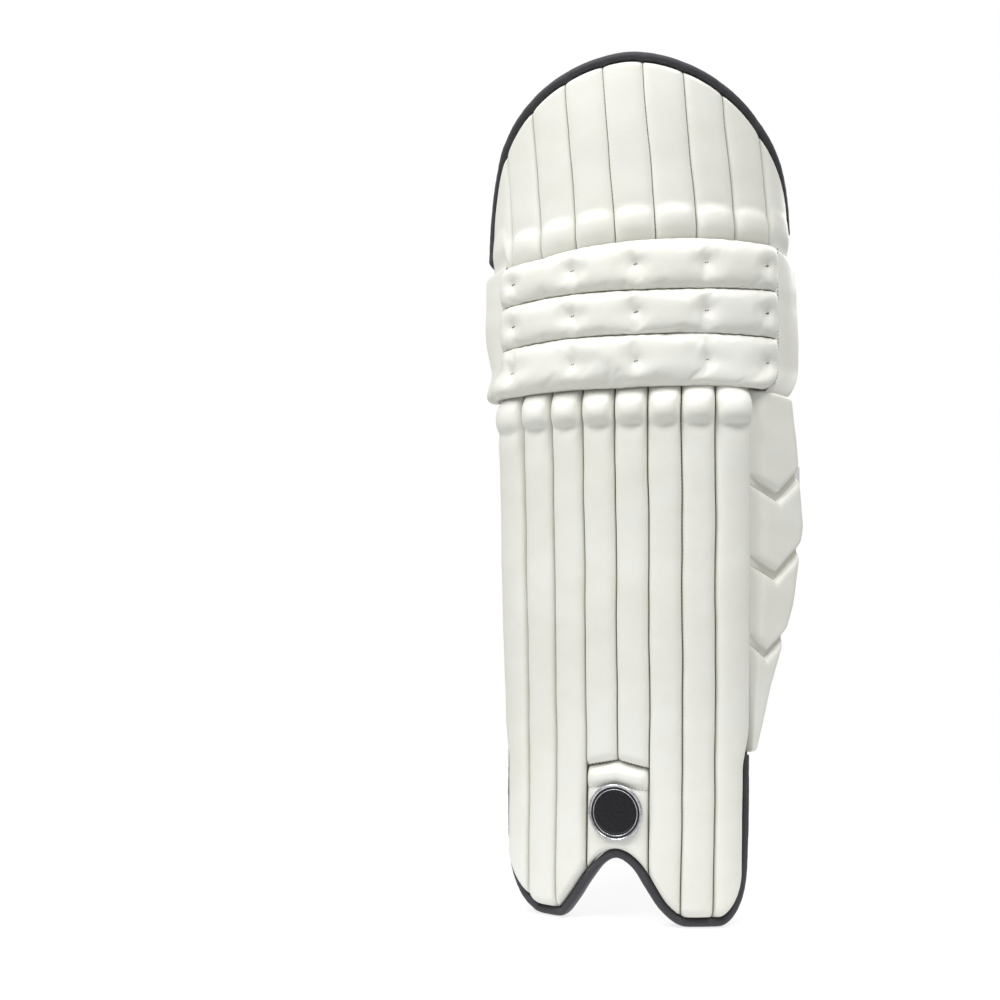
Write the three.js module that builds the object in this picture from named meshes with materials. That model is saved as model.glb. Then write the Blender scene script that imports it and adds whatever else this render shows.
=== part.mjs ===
// A cricket batting pad: a guard for the front of one leg, standing upright on its two foot lobes.
// Millimetres, +Z up, the front faces -Y and the outer side of the leg is at +X.
//
// Every piece is laid out on one curved layer, the cloth that the pad is sewn to. A point of the pad is
// given by its distance across that layer from the centre line, its height, and how far it lies in
// front of the layer (out). Ribs, rolls and patches lie in front, and linings and bolsters behind.
import * as THREE from 'three';

// Driving dimensions
const SHIN_RIB_WIDTH = 26.6;
const SHIN_RIB_WIDTH_AT_FOOT = 25.6;
const SHIN_RIB_COUNT = 8;
const SHIN_RIB_DEPTH = 15;
const SHIN_EDGE = 106;
const TOP_RIB_WIDTH = 33.5;
const TOP_RIB_COUNT = 9;
const TOP_RIB_DEPTH = 13;
const FLAP_INNER_REACH = 156;
const FLAP_OUTER_REACH = 147;
const FLAP_BASE = 530;
const FLAP_RISE = 182;
const ROLL_HALF_LENGTH = 126;
const ROLL_SEAMS = [441, 484, 520, 555];
const ROLL_ARCH = 9;
const ROLL_DEPTH = 23;
const ROLL_SEAT = 1.2;
const PATCH_HALF_WIDTH = 26;
const PATCH_TOP = 134;
const PATCH_TOP_DROP = 6;
const BINDING_DEPTH = 7;
const BINDING_FRONT = 8;
const BINDING_BACK = -8;
const BINDING_GAP = 0.8;
const FOOT_LIMIT = 98.4;
const FOOT_BINDING_CLEAR = 132;
const SHIN_FULL_WIDTH_FROM = 170;
const SEAM_GAP = 0.4;
const LAYER_GAP = 0.5;
const ORIGIN_SHIFT = { x: -8, y: -33 };

// A table with named columns.
function rows(columns, values) {
  return values.map((row) => Object.fromEntries(columns.map((column, i) => [column, row[i]])));
}

// How the curved layer runs at each height. frontRadius is the bow of the front. From bendStart outwards
// the layer bends with bendRadius until it has turned by outerAngle or innerAngle degrees, and goes on
// straight. The whole section is moved sideways and back, and turned by turn degrees about the upright.
const SECTIONS = rows([
  'height', 'sideways', 'back', 'turn', 'frontRadius', 'bendStart', 'bendRadius', 'outerAngle', 'innerAngle',
], [
  [0, 0, 0, 0, 200, 78, 55, 48, 48],
  [150, 0, 6, 0, 225, 78, 50, 48, 48],
  [300, 0, 2, 0, 264, 79, 50, 48, 48],
  [426, 0, -4, 0, 264, 79, 50, 48, 48],
  [462, 18, -6, 8, 162, 112, 40, 62, 52],
  [560, 18, -8, 8, 158, 112, 40, 73, 52],
  [714, 16, -24, 8, 155, 112, 44, 74, 54],
]);

// The lower edge of the pad, from the inner side to the outer side: two lobes that stand flat on the
// floor, and the notch between them that clears the tongue of the shoe.
const FOOT_EDGE = rows(['across', 'height'], [
  [-107, 130],
  [-107, 80],
  [-103, 40],
  [-92, 18],
  [-78, 4],
  [-68, 0],
  [-48, 0],
  [-36, 13],
  [-22, 34],
  [-10, 49],
  [0, 54],
  [12, 47],
  [22, 32],
  [36, 12],
  [53, 0],
  [84, 0],
  [95, 9],
  [104, 30],
  [107, 70],
  [107, 130],
]);

// How far each wing reaches from the edge of the shin, by height.
const OUTER_WING = rows(['height', 'reach'], [
  [141, 7],
  [160, 12],
  [198, 22],
  [234, 34],
  [262, 43],
  [306, 50],
  [328, 53],
  [366, 50],
  [400, 47],
  [434, 41],
]);
const OUTER_WING_HEADING = 42;
const INNER_WING = rows(['height', 'reach'], [
  [182, 36],
  [220, 46],
  [265, 52],
  [320, 48],
  [380, 42],
  [432, 36],
]);
const INNER_WING_HEADING = 78;
const OUTER_WING_DEPTH = 13;
const INNER_WING_DEPTH = 9;

// Colours, as on the photographed pad
const IVORY = 0xf1f1ea;
const CHARCOAL = 0x3c3c42;
const CAMOUFLAGE = 0x5c5a62;
const MESH_WHITE = 0xf0f0ec;
const LINING_WHITE = 0xdfe4e6;
const WEBBING = 0x8d8a8a;
const CLEAR_PLASTIC = 0xf4f4f0;
const RUBBER_GREY = 0xa3a8ae;
const LABEL_GREY = 0x2b3036;
const BADGE_BLACK = 0x1a1b20;

const UP = new THREE.Vector3(0, 0, 1);
const pad = new THREE.Group();

function smoothStep(t) {
  return t * t * (3 - 2 * t);
}

function mix(a, b, t) {
  return a + (b - a) * t;
}

// The rows of a table on either side of a key, and how far the key lies between them.
function rowsAround(table, column, key) {
  const last = table.length - 1;
  const held = Math.min(Math.max(key, table[0][column]), table[last][column]);
  const next = Math.max(1, table.findIndex((row) => row[column] >= held));
  const below = table[next - 1];
  const above = table[next];
  return { below, above, t: (held - below[column]) / (above[column] - below[column]) };
}

function tableValue(table, keyColumn, key, valueColumn) {
  const { below, above, t } = rowsAround(table, keyColumn, key);
  return mix(below[valueColumn], above[valueColumn], t);
}

function sectionAt(height) {
  const { below, above, t } = rowsAround(SECTIONS, 'height', height);
  const section = {};
  for (const column of Object.keys(below)) {
    section[column] = mix(below[column], above[column], smoothStep(t));
  }
  return section;
}

// The point of the pad at a distance across the layer, a height, and a distance out of the layer.
function padPoint(across, height, out) {
  const section = sectionAt(height);
  const reach = Math.abs(across);
  const bow = section.frontRadius;
  const frontAngle = Math.min(reach, section.bendStart) / bow;
  let angle = frontAngle;
  let x = bow * Math.sin(frontAngle);
  let y = bow * (1 - Math.cos(frontAngle));
  if (reach > section.bendStart) {
    const bend = section.bendRadius;
    const bendAngle = across < 0 ? section.innerAngle : section.outerAngle;
    angle = Math.min(frontAngle + (reach - section.bendStart) / bend, THREE.MathUtils.degToRad(bendAngle));
    x += bend * (Math.sin(angle) - Math.sin(frontAngle));
    y += bend * (Math.cos(frontAngle) - Math.cos(angle));
    const straight = reach - section.bendStart - (angle - frontAngle) * bend;
    x += straight * Math.cos(angle);
    y += straight * Math.sin(angle);
  }
  x += out * Math.sin(angle);
  y -= out * Math.cos(angle);
  const side = across < 0 ? -1 : 1;
  const point = new THREE.Vector3(side * x, y, height);
  point.applyAxisAngle(UP, THREE.MathUtils.degToRad(section.turn));
  return point.add(new THREE.Vector3(section.sideways, section.back, 0));
}

// A point of a wing: side is 1 for the outer and -1 for the inner one, reach runs from the edge of the
// shin, and out is measured from the wing's inner face.
function wingPoint(side, reach, height, out) {
  const heading = THREE.MathUtils.degToRad(side > 0 ? OUTER_WING_HEADING : INNER_WING_HEADING);
  const root = padPoint(side * (SHIN_EDGE + 1.5), height, -4);
  const x = reach * Math.cos(heading) + out * Math.sin(heading);
  const y = reach * Math.sin(heading) - out * Math.cos(heading);
  return root.add(new THREE.Vector3(side * x, y, 0));
}

// Evenly spaced stations from 0 to 1.
function stations(count) {
  return Array.from({ length: count + 1 }, (_, i) => i / count);
}

// A closed slab between an outer and an inner skin. us and vs are the stations of its grid, and
// pointAt(u, v, face) gives a point of the outer skin (face 1) or of the inner one (face 0).
function slab(us, vs, pointAt) {
  const columns = us.length;
  const rows = vs.length;
  const positions = [];
  for (const face of [0, 1]) {
    for (const v of vs) {
      for (const u of us) {
        positions.push(...pointAt(u, v, face).toArray());
      }
    }
  }
  const at = (i, j, face) => (face * rows + j) * columns + i;
  const triangles = [];
  for (let j = 0; j < rows - 1; j += 1) {
    for (let i = 0; i < columns - 1; i += 1) {
      triangles.push(at(i, j, 1), at(i + 1, j, 1), at(i + 1, j + 1, 1));
      triangles.push(at(i, j, 1), at(i + 1, j + 1, 1), at(i, j + 1, 1));
      triangles.push(at(i, j, 0), at(i + 1, j + 1, 0), at(i + 1, j, 0));
      triangles.push(at(i, j, 0), at(i, j + 1, 0), at(i + 1, j + 1, 0));
    }
  }
  const rim = [];
  for (let i = 0; i < columns - 1; i += 1) rim.push([i, 0]);
  for (let j = 0; j < rows - 1; j += 1) rim.push([columns - 1, j]);
  for (let i = columns - 1; i > 0; i -= 1) rim.push([i, rows - 1]);
  for (let j = rows - 1; j > 0; j -= 1) rim.push([0, j]);
  rim.forEach(([i, j], k) => {
    const [m, n] = rim[(k + 1) % rim.length];
    triangles.push(at(m, n, 1), at(i, j, 1), at(i, j, 0));
    triangles.push(at(m, n, 1), at(i, j, 0), at(m, n, 0));
  });
  const geometry = new THREE.BufferGeometry();
  geometry.setAttribute('position', new THREE.Float32BufferAttribute(positions, 3));
  geometry.setIndex(triangles);
  return facingOut(geometry);
}

// Turns a closed geometry's triangles round if they face inwards.
function facingOut(geometry) {
  const position = geometry.getAttribute('position');
  const index = geometry.getIndex();
  const corners = [new THREE.Vector3(), new THREE.Vector3(), new THREE.Vector3()];
  let volume = 0;
  for (let i = 0; i < index.count; i += 3) {
    corners.forEach((corner, k) => corner.fromBufferAttribute(position, index.getX(i + k)));
    volume += corners[0].dot(corners[1].cross(corners[2]));
  }
  if (volume < 0) {
    geometry.setIndex(Array.from(index.array).reverse());
  }
  return geometry;
}

function addPiece(name, geometry, color, roughness = 0.55, metalness = 0) {
  const material = new THREE.MeshStandardMaterial({ color, roughness, metalness });
  const mesh = new THREE.Mesh(geometry, material);
  mesh.name = name;
  pad.add(mesh);
  return mesh;
}

// A rounded crown from edge to edge: 1 in the middle, low at both edges.
function crown(t, low) {
  const offset = 2 * t - 1;
  return low + (1 - low) * Math.sqrt(Math.max(0, 1 - offset * offset));
}

// The bound edges. Each is a curve of the distance across and the height.
const FLAP_SIDE_POWER = 1.7;
const FLAP_TOP_POWER = 2.6;
const FLAP_START_ANGLE = 0.16;
const FLAP_END_ANGLE = Math.PI - 0.004;
const EDGE_SAMPLES = 400;

function edgeCurve(points) {
  return new THREE.CatmullRomCurve3(points.map(([x, y]) => new THREE.Vector3(x, y, 0)), false, 'centripetal');
}

const footCurve = edgeCurve(FOOT_EDGE.map(({ across, height }) => [across, height]));
const flapCurve = edgeCurve(stations(24).map((t) => {
  const angle = mix(FLAP_START_ANGLE, FLAP_END_ANGLE, t);
  const cosine = Math.cos(angle);
  const reach = cosine < 0 ? -FLAP_INNER_REACH : FLAP_OUTER_REACH;
  const across = reach * Math.pow(Math.abs(cosine), 2 / FLAP_SIDE_POWER);
  return [across, FLAP_BASE + FLAP_RISE * Math.pow(Math.sin(angle), 2 / FLAP_TOP_POWER)];
}));
const footSamples = footCurve.getSpacedPoints(EDGE_SAMPLES);
const flapSamples = flapCurve.getSpacedPoints(EDGE_SAMPLES);

// The height just clear of a binding: inwards is 1 where the pad lies above the edge, -1 where below.
function besideBinding(samples, across, inwards) {
  const clear = BINDING_DEPTH + BINDING_GAP;
  let furthest = -Infinity;
  for (const point of samples) {
    const offset = Math.abs(point.x - across);
    if (offset < clear) {
      const reach = Math.sqrt(clear * clear - offset * offset);
      furthest = Math.max(furthest, inwards * Math.max(0, point.y) + reach);
    }
  }
  return inwards * furthest;
}

function aboveFootBinding(across) {
  return besideBinding(footSamples, across, 1);
}

function belowFlapBinding(across) {
  return besideBinding(flapSamples, across, -1);
}

function rollSeam(level, across) {
  const share = across / ROLL_HALF_LENGTH;
  return ROLL_SEAMS[level] - ROLL_ARCH * share * share;
}

function patchTop(across) {
  return PATCH_TOP - PATCH_TOP_DROP * Math.abs(across) / PATCH_HALF_WIDTH;
}

// The seam beside a shin rib. The outermost ones draw in beside the foot's binding.
function shinSeam(number, height) {
  const width = mix(SHIN_RIB_WIDTH_AT_FOOT, SHIN_RIB_WIDTH, Math.min(1, height / ROLL_SEAMS[0]));
  const seam = (number - SHIN_RIB_COUNT / 2) * width;
  const spread = (height - FOOT_BINDING_CLEAR) / (SHIN_FULL_WIDTH_FROM - FOOT_BINDING_CLEAR);
  const limit = mix(FOOT_LIMIT, SHIN_EDGE, Math.min(1, Math.max(0, spread)));
  return Math.min(Math.max(seam, -limit), limit);
}

// Shin ribs: tall padded ribs with a swollen head under the knee roll and a thinner lower end. A
// station is measured up from the rib's low end or down from its high end.
const RIB_ACROSS = stations(4);
const RIB_CROWN = 0.35;
const SHIN_STATIONS = [
  { fromLow: 0, swell: 0.5 },
  { fromLow: 8, swell: 0.85 },
  { fromLow: 24, swell: 1 },
  { at: FOOT_BINDING_CLEAR, swell: 1 },
  { at: SHIN_FULL_WIDTH_FROM, swell: 1 },
  { fromHigh: 150, swell: 1 },
  { fromHigh: 40, swell: 1 },
  { fromHigh: 15, swell: 1.15 },
  { fromHigh: 0, swell: 0.55 },
];

function stationHeight(station, low, high) {
  if (station.at !== undefined) return station.at;
  return station.fromLow === undefined ? high - station.fromHigh : low + station.fromLow;
}

for (let number = 1; number <= SHIN_RIB_COUNT; number += 1) {
  const overPatch = number === 4 || number === 5;
  const rows = SHIN_STATIONS.filter((station) => !(overPatch && station.at === FOOT_BINDING_CLEAR));
  const geometry = slab(RIB_ACROSS, rows, (u, station, face) => {
    const nominal = mix(shinSeam(number - 1, 0), shinSeam(number, 0), u);
    const low = overPatch ? patchTop(nominal) + SEAM_GAP : aboveFootBinding(nominal);
    const height = stationHeight(station, low, rollSeam(0, nominal) - 3 * SEAM_GAP);
    const across = mix(shinSeam(number - 1, height) + SEAM_GAP, shinSeam(number, height) - SEAM_GAP, u);
    const depth = SHIN_RIB_DEPTH * station.swell * crown(u, RIB_CROWN);
    return padPoint(across, height, LAYER_GAP + face * depth);
  });
  addPiece(`shin_rib_${number}`, geometry, IVORY);
}

// Thigh flap ribs: nine ribs, full at their lower end and thin under the bound top edge
const FLAP_STATIONS = [
  { along: 0, swell: 0.6 },
  { along: 0.1, swell: 1.15 },
  { along: 0.25, swell: 1 },
  { along: 0.6, swell: 0.95 },
  { along: 0.88, swell: 0.8 },
  { along: 1, swell: 0.45 },
];
const FLAP_INNER_LIMIT = -FLAP_INNER_REACH + BINDING_DEPTH + 2 * BINDING_GAP;
const FLAP_OUTER_LIMIT = FLAP_OUTER_REACH - BINDING_DEPTH - 2 * BINDING_GAP;

for (let number = 1; number <= TOP_RIB_COUNT; number += 1) {
  const middle = (number - (TOP_RIB_COUNT + 1) / 2) * TOP_RIB_WIDTH;
  const left = Math.max(middle - TOP_RIB_WIDTH / 2 + SEAM_GAP, FLAP_INNER_LIMIT);
  const right = Math.min(middle + TOP_RIB_WIDTH / 2 - SEAM_GAP, FLAP_OUTER_LIMIT);
  const geometry = slab(RIB_ACROSS, FLAP_STATIONS, (u, station, face) => {
    const across = mix(left, right, u);
    const height = mix(rollSeam(3, across) + 3 * SEAM_GAP, belowFlapBinding(across), station.along);
    const depth = TOP_RIB_DEPTH * station.swell * crown(u, RIB_CROWN);
    return padPoint(across, height, LAYER_GAP + face * depth);
  });
  addPiece(`top_rib_${number}`, geometry, IVORY);
}

// Knee rolls: three full bolsters across the knee, arched a little at the ends
const ROLL_NAMES = ['knee_roll_lower', 'knee_roll_middle', 'knee_roll_upper'];
const ROLL_ACROSS = [0, 0.04, 0.12, 0.24, 0.37, 0.5, 0.63, 0.76, 0.88, 0.96, 1];

ROLL_NAMES.forEach((name, level) => {
  const geometry = slab(ROLL_ACROSS, stations(5), (u, v, face) => {
    const across = mix(-ROLL_HALF_LENGTH, ROLL_HALF_LENGTH, u);
    const height = mix(rollSeam(level, across) + SEAM_GAP, rollSeam(level + 1, across) - SEAM_GAP, v);
    const end = Math.min(1, 0.4 + 8 * Math.min(u, 1 - u));
    const depth = ROLL_DEPTH * end * crown(v, 0.3);
    return padPoint(across, height, ROLL_SEAT + face * depth);
  });
  addPiece(name, geometry, IVORY);
});

// Side flaps of the knee, closing the ends of the rolls and wrapping towards the back
const KNEE_SIDE_START = ROLL_HALF_LENGTH + 2;
const KNEE_SIDE_LOW = 430;
const KNEE_SIDE_HIGH = 540;
const KNEE_SIDE_FALL = 11;
const KNEE_SIDE_DEPTH = 12;
const KNEE_SIDES = rows(['name', 'side', 'lowReach', 'highReach'], [
  ['knee_side_inner', -1, 136, 158],
  ['knee_side_outer', 1, 148, 153],
]);

for (const { name, side, lowReach, highReach } of KNEE_SIDES) {
  const geometry = slab(stations(3), stations(7), (u, v, face) => {
    const reach = mix(lowReach, highReach, Math.min(1, 2.5 * v));
    const across = side * mix(KNEE_SIDE_START, reach, u);
    const bulge = 2 * crown(v, 0) * crown(u, 0);
    const out = (face - 0.5) * KNEE_SIDE_DEPTH + face * bulge;
    return padPoint(across, mix(KNEE_SIDE_LOW, KNEE_SIDE_HIGH - KNEE_SIDE_FALL * u, v), out);
  });
  addPiece(name, geometry, IVORY);
}

// Instep patch between the two halves of the foot, and the raised badge on it
const PATCH_DEPTH = 12;
const BADGE_HEIGHT = 93;
const BADGE_HALF_WIDTH = 19;
const BADGE_HALF_HEIGHT = 24;
const BADGE_DEPTH = 3;

addPiece('instep_patch', slab(stations(8), stations(5), (u, v, face) => {
  const across = mix(-PATCH_HALF_WIDTH + SEAM_GAP, PATCH_HALF_WIDTH - SEAM_GAP, u);
  const height = mix(aboveFootBinding(across), patchTop(across) - SEAM_GAP, v);
  const ends = Math.min(1, 0.5 + 3 * Math.min(v, 1 - v));
  const sides = Math.min(1, 0.5 + 2.4 * Math.min(u, 1 - u));
  return padPoint(across, height, LAYER_GAP + face * PATCH_DEPTH * ends * sides);
}), IVORY);

addPiece('front_badge', slab(stations(6), stations(6), (u, v, face) => {
  const a = 2 * u - 1;
  const b = 2 * v - 1;
  const across = BADGE_HALF_WIDTH * a * Math.sqrt(1 - b * b / 2);
  const height = BADGE_HEIGHT + BADGE_HALF_HEIGHT * b * Math.sqrt(1 - a * a / 2);
  return padPoint(across, height, LAYER_GAP + PATCH_DEPTH + 0.4 + face * BADGE_DEPTH);
}), BADGE_BLACK, 0.35, 0.2);

// Outer wing: four quilted panels divided by chevron seams, and the plain inner wing in two panels
const OUTER_WING_SEAMS = rows(['root', 'valley', 'tip'], [
  [141, 141, 141],
  [236, 222, 238],
  [301, 287, 310],
  [368, 352, 371],
  [424, 424, 422],
]);
const VALLEY_SHARE = 0.55;
const WING_ACROSS = [0, 0.25, VALLEY_SHARE, 0.8, 1];

function chevronHeight(seam, u) {
  if (u < VALLEY_SHARE) return mix(seam.root, seam.valley, u / VALLEY_SHARE);
  return mix(seam.valley, seam.tip, (u - VALLEY_SHARE) / (1 - VALLEY_SHARE));
}

function wingSolid(side, table, lowAt, highAt) {
  const fullDepth = side > 0 ? OUTER_WING_DEPTH : INNER_WING_DEPTH;
  return slab(WING_ACROSS, stations(4), (u, v, face) => {
    const height = mix(lowAt(u) + SEAM_GAP, highAt(u) - SEAM_GAP, v);
    const reach = u * tableValue(table, 'height', height, 'reach');
    const depth = fullDepth * Math.min(crown(u, 0.5), crown(v, 0.6));
    return wingPoint(side, reach, height, 0.5 * (fullDepth + mix(-1, 1, face) * depth));
  });
}

OUTER_WING_SEAMS.slice(1).forEach((upper, i) => {
  const lower = OUTER_WING_SEAMS[i];
  const geometry = wingSolid(1, OUTER_WING, (u) => chevronHeight(lower, u), (u) => chevronHeight(upper, u));
  addPiece(`outer_wing_panel_${i + 1}`, geometry, IVORY);
});

const [INNER_WING_LOW, INNER_WING_SEAM, INNER_WING_HIGH] = [182, 264, 426];
addPiece('inner_wing_lower', wingSolid(-1, INNER_WING, () => INNER_WING_LOW, () => INNER_WING_SEAM), IVORY);
addPiece('inner_wing_upper', wingSolid(-1, INNER_WING, () => INNER_WING_SEAM, () => INNER_WING_HIGH), IVORY);

// Bindings: a strip folded over the pad's sewn edge, BINDING_DEPTH wide on the front and on the back
const FOOT_BINDING_STEPS = 76;
const FLAP_BINDING_STEPS = 44;

function binding(curve, steps) {
  return slab([BINDING_FRONT, BINDING_BACK], stations(steps), (out, v, face) => {
    const point = curve.getPointAt(v);
    const tangent = curve.getTangentAt(v);
    const depth = (1 - face) * BINDING_DEPTH;
    return padPoint(point.x - tangent.y * depth, Math.max(0, point.y) + tangent.x * depth, out);
  });
}

addPiece('bottom_binding', binding(footCurve, FOOT_BINDING_STEPS), CHARCOAL, 0.6);
addPiece('top_binding', binding(flapCurve, FLAP_BINDING_STEPS), CHARCOAL, 0.6);

// Linings: the padded thigh lining, the flat back of the shin and the ribbed foot lining
const LINING_LOW = 561;
const LINING_SEAT = 1.6;
const LINING_EDGE_DEPTH = 5;
const LINING_BULGE = 12;
addPiece('top_lining', slab(stations(10), stations(6), (u, v, face) => {
  const across = mix(FLAP_INNER_LIMIT, FLAP_OUTER_LIMIT, u);
  const height = mix(LINING_LOW, belowFlapBinding(across), v);
  const depth = LINING_EDGE_DEPTH + LINING_BULGE * crown(u, 0) * crown(v, 0);
  return padPoint(across, height, face ? -LINING_SEAT : -depth);
}), CAMOUFLAGE, 0.8);

const LINING_DEPTH = 3;
const SHIN_ACROSS = [-1, -0.92, -0.84, -0.75, -0.5, -0.25, 0, 0.25, 0.5, 0.75, 0.84, 0.92, 1];
const INSTEP_TOP = 179;
addPiece('shin_lining', slab(SHIN_ACROSS, stations(5), (u, v, face) => {
  const height = mix(INSTEP_TOP + 1, INNER_WING_HIGH, v);
  return padPoint(u * SHIN_EDGE, height, face ? -LAYER_GAP : -LINING_DEPTH);
}), IVORY);

const INSTEP_DEPTH = 7;
const INSTEP_PANELS = rows(['name', 'left', 'right', 'ribs', 'columns'], [
  ['instep_lining_inner', -FOOT_LIMIT, -PATCH_HALF_WIDTH - SEAM_GAP, 3, 12],
  ['instep_lining_centre', -PATCH_HALF_WIDTH + SEAM_GAP, PATCH_HALF_WIDTH - SEAM_GAP, 1, 8],
  ['instep_lining_outer', PATCH_HALF_WIDTH + SEAM_GAP, FOOT_LIMIT, 3, 12],
]);

for (const { name, left, right, ribs, columns } of INSTEP_PANELS) {
  const geometry = slab(stations(columns), [0, 0.1, 0.4, 0.7, 1], (u, v, face) => {
    const across = mix(left, right, u);
    const swell = v === 0 ? 0.5 : 1;
    const depth = 2 + INSTEP_DEPTH * swell * crown((u * ribs) % 1, 0.25);
    return padPoint(across, mix(aboveFootBinding(across), INSTEP_TOP, v), face ? -LAYER_GAP : -depth);
  });
  addPiece(name, geometry, LINING_WHITE, 0.5);
}

// Knee bolsters and shin bolsters: the padding that lies against the leg
const KNEE_BOLSTER_SEAT = -1.4;
const KNEE_BOLSTER_TOP = 560.4;
const KNEE_BOLSTER_LOW = 466;
const KNEE_BOLSTER_DROP = 24;
const KNEE_BOLSTERS = rows(['name', 'left', 'right', 'depth', 'color'], [
  ['knee_bolster_inner', -123, -38.8, 24, MESH_WHITE],
  ['knee_bolster_centre', -38, 38, 20, CAMOUFLAGE],
  ['knee_bolster_outer', 38.8, 123, 24, MESH_WHITE],
]);

for (const { name, left, right, depth, color } of KNEE_BOLSTERS) {
  const geometry = slab(stations(5), stations(8), (u, v, face) => {
    const across = mix(left, right, u);
    const low = KNEE_BOLSTER_LOW - KNEE_BOLSTER_DROP * Math.abs(across) / ROLL_HALF_LENGTH;
    const thick = depth * Math.min(crown(u, 0.35), crown(v, 0.35));
    return padPoint(across, mix(low, KNEE_BOLSTER_TOP, v), KNEE_BOLSTER_SEAT - (1 - face) * thick);
  });
  addPiece(name, geometry, color, 0.85);
}

const SHIN_BOLSTER_SEAT = -LINING_DEPTH - 2 * LAYER_GAP;
const SHIN_BOLSTER_REACH = rows(['height', 'outer', 'inner'], [
  [181, 62, 96],
  [218, 79, 94],
  [250, 89, 92],
  [290, 96, 91],
  [330, 98, 90],
  [400, 95, 88],
  [439, 90, 86],
]);
const SHIN_BOLSTER_LOW = SHIN_BOLSTER_REACH[0].height;
const SHIN_BOLSTER_HIGH = SHIN_BOLSTER_REACH[SHIN_BOLSTER_REACH.length - 1].height;
const SHIN_BOLSTER_DEPTH = 24;
const SHIN_CENTRE_DEPTH = 13;
const SHIN_CENTRE_HALF_WIDTH = 28;

for (const [column, side] of [['outer', 1], ['inner', -1]]) {
  const geometry = slab(stations(6), stations(8), (u, v, face) => {
    const height = mix(SHIN_BOLSTER_LOW, SHIN_BOLSTER_HIGH, v);
    const reach = tableValue(SHIN_BOLSTER_REACH, 'height', height, column);
    const across = side * mix(SHIN_CENTRE_HALF_WIDTH + 2 * SEAM_GAP, reach, u);
    const thick = SHIN_BOLSTER_DEPTH * Math.min(crown(u, 0.35), crown(v, 0.4));
    return padPoint(across, height, SHIN_BOLSTER_SEAT - (1 - face) * thick);
  });
  addPiece(`shin_bolster_${column}`, geometry, MESH_WHITE, 0.85);
}

addPiece('shin_bolster_centre', slab(stations(4), stations(8), (u, v, face) => {
  const across = mix(-SHIN_CENTRE_HALF_WIDTH, SHIN_CENTRE_HALF_WIDTH, u);
  const thick = SHIN_CENTRE_DEPTH * Math.min(crown(u, 0.5), crown(v, 0.5));
  const height = mix(SHIN_BOLSTER_LOW, SHIN_BOLSTER_HIGH, v);
  return padPoint(across, height, SHIN_BOLSTER_SEAT - (1 - face) * thick);
}), CAMOUFLAGE, 0.85);

// Straps. Each is sewn to the outer side by a short anchor that holds a plastic ring, runs across the
// back of the leg, and ends on the inner side in a tab. seat and fold are the middle line of the anchor,
// route that of the strap, and end where the patch below the strap's end is sewn on. The shares of
// the whole route give where the strap ends and where the patch and the tab lie.
const WEB = 1.8;
const LIFT = WEB + 0.6;
const RING_BAR = 3.4;
const RING_LENGTH = 15;
const RING_OVERHANG = 4;
const RING_CORNER = 5;
const RING_HOLE_CORNER = 2;
const RING_REACH = RING_LENGTH / 2 + 0.4;
const TAB_SHARE = 0.9;
const KNEE_INSIDE = -KNEE_SIDE_DEPTH / 2 - 2;
const WING_INSIDE = -2.2;
const WING_OUTSIDE = 12.6;
const FOOT_INSIDE = -10.6;
const STRAPS = [
  {
    name: 'top',
    width: 28,
    seat: [padPoint(132, 484, KNEE_INSIDE), padPoint(144, 484, KNEE_INSIDE), padPoint(154, 484, KNEE_INSIDE)],
    fold: [[124, 94, 484]],
    route: [[104, 95, 487], [60, 94, 491], [10, 88, 494], [-40, 78, 489], [-84, 67, 482], [-108, 59, 477]],
    end: [padPoint(-152, 475, KNEE_INSIDE), padPoint(-138, 475, KNEE_INSIDE)],
    strapEnd: 0.73,
    patchStart: 0.6,
    tab: { start: 0.72, end: 0.8, pointed: false, color: RUBBER_GREY },
  },
  {
    name: 'middle',
    width: 57,
    seat: [wingPoint(1, 24, 350, WING_INSIDE), wingPoint(1, 46, 350, WING_INSIDE)],
    fold: [[140, 71, 350], [133, 77, 350]],
    route: [[103, 82, 350], [60, 87, 350], [0, 90, 350], [-60, 89, 350], [-100, 87, 350]],
    end: [
      wingPoint(-1, 51, 350, 9),
      wingPoint(-1, 42, 350, WING_OUTSIDE),
      wingPoint(-1, 32, 350, WING_OUTSIDE),
    ],
    strapEnd: 1,
    tab: { start: 0.52, end: 0.9, pointed: true, color: LABEL_GREY },
  },
  {
    name: 'bottom',
    width: 58,
    seat: [padPoint(82, 152, FOOT_INSIDE), padPoint(96, 152, FOOT_INSIDE)],
    fold: [[93, 46, 152], [96, 52, 152], [93, 57, 152]],
    route: [[72, 62, 152], [40, 67, 153], [0, 69, 153], [-40, 67, 152], [-78, 60, 150], [-93, 51, 149]],
    end: [padPoint(-97, 149, FOOT_INSIDE), padPoint(-86, 149, FOOT_INSIDE)],
    strapEnd: 0.74,
    patchStart: 0.62,
    tab: { start: 0.73, end: 0.88, pointed: false, color: RUBBER_GREY },
  },
];

function stripCurve(points) {
  const corners = points.map((point) => (point.isVector3 ? point : new THREE.Vector3(...point)));
  return new THREE.CatmullRomCurve3(corners, false, 'centripetal');
}

// The direction from a strap's route towards the outside of the loop.
function outwardAt(curve, share) {
  const tangent = curve.getTangentAt(share);
  return new THREE.Vector3(tangent.y, -tangent.x, 0).normalize();
}

// A band along part of a curve: widthAt(v) is its width, and lift how far it lies outside the curve.
function band(curve, from, to, steps, lift, widthAt) {
  return slab(stations(2), stations(steps), (u, v, face) => {
    const share = mix(from, to, v);
    const point = curve.getPointAt(share);
    point.addScaledVector(outwardAt(curve, share), lift + (face - 0.5) * WEB);
    return point.addScaledVector(UP, (u - 0.5) * widthAt(v));
  });
}

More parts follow.
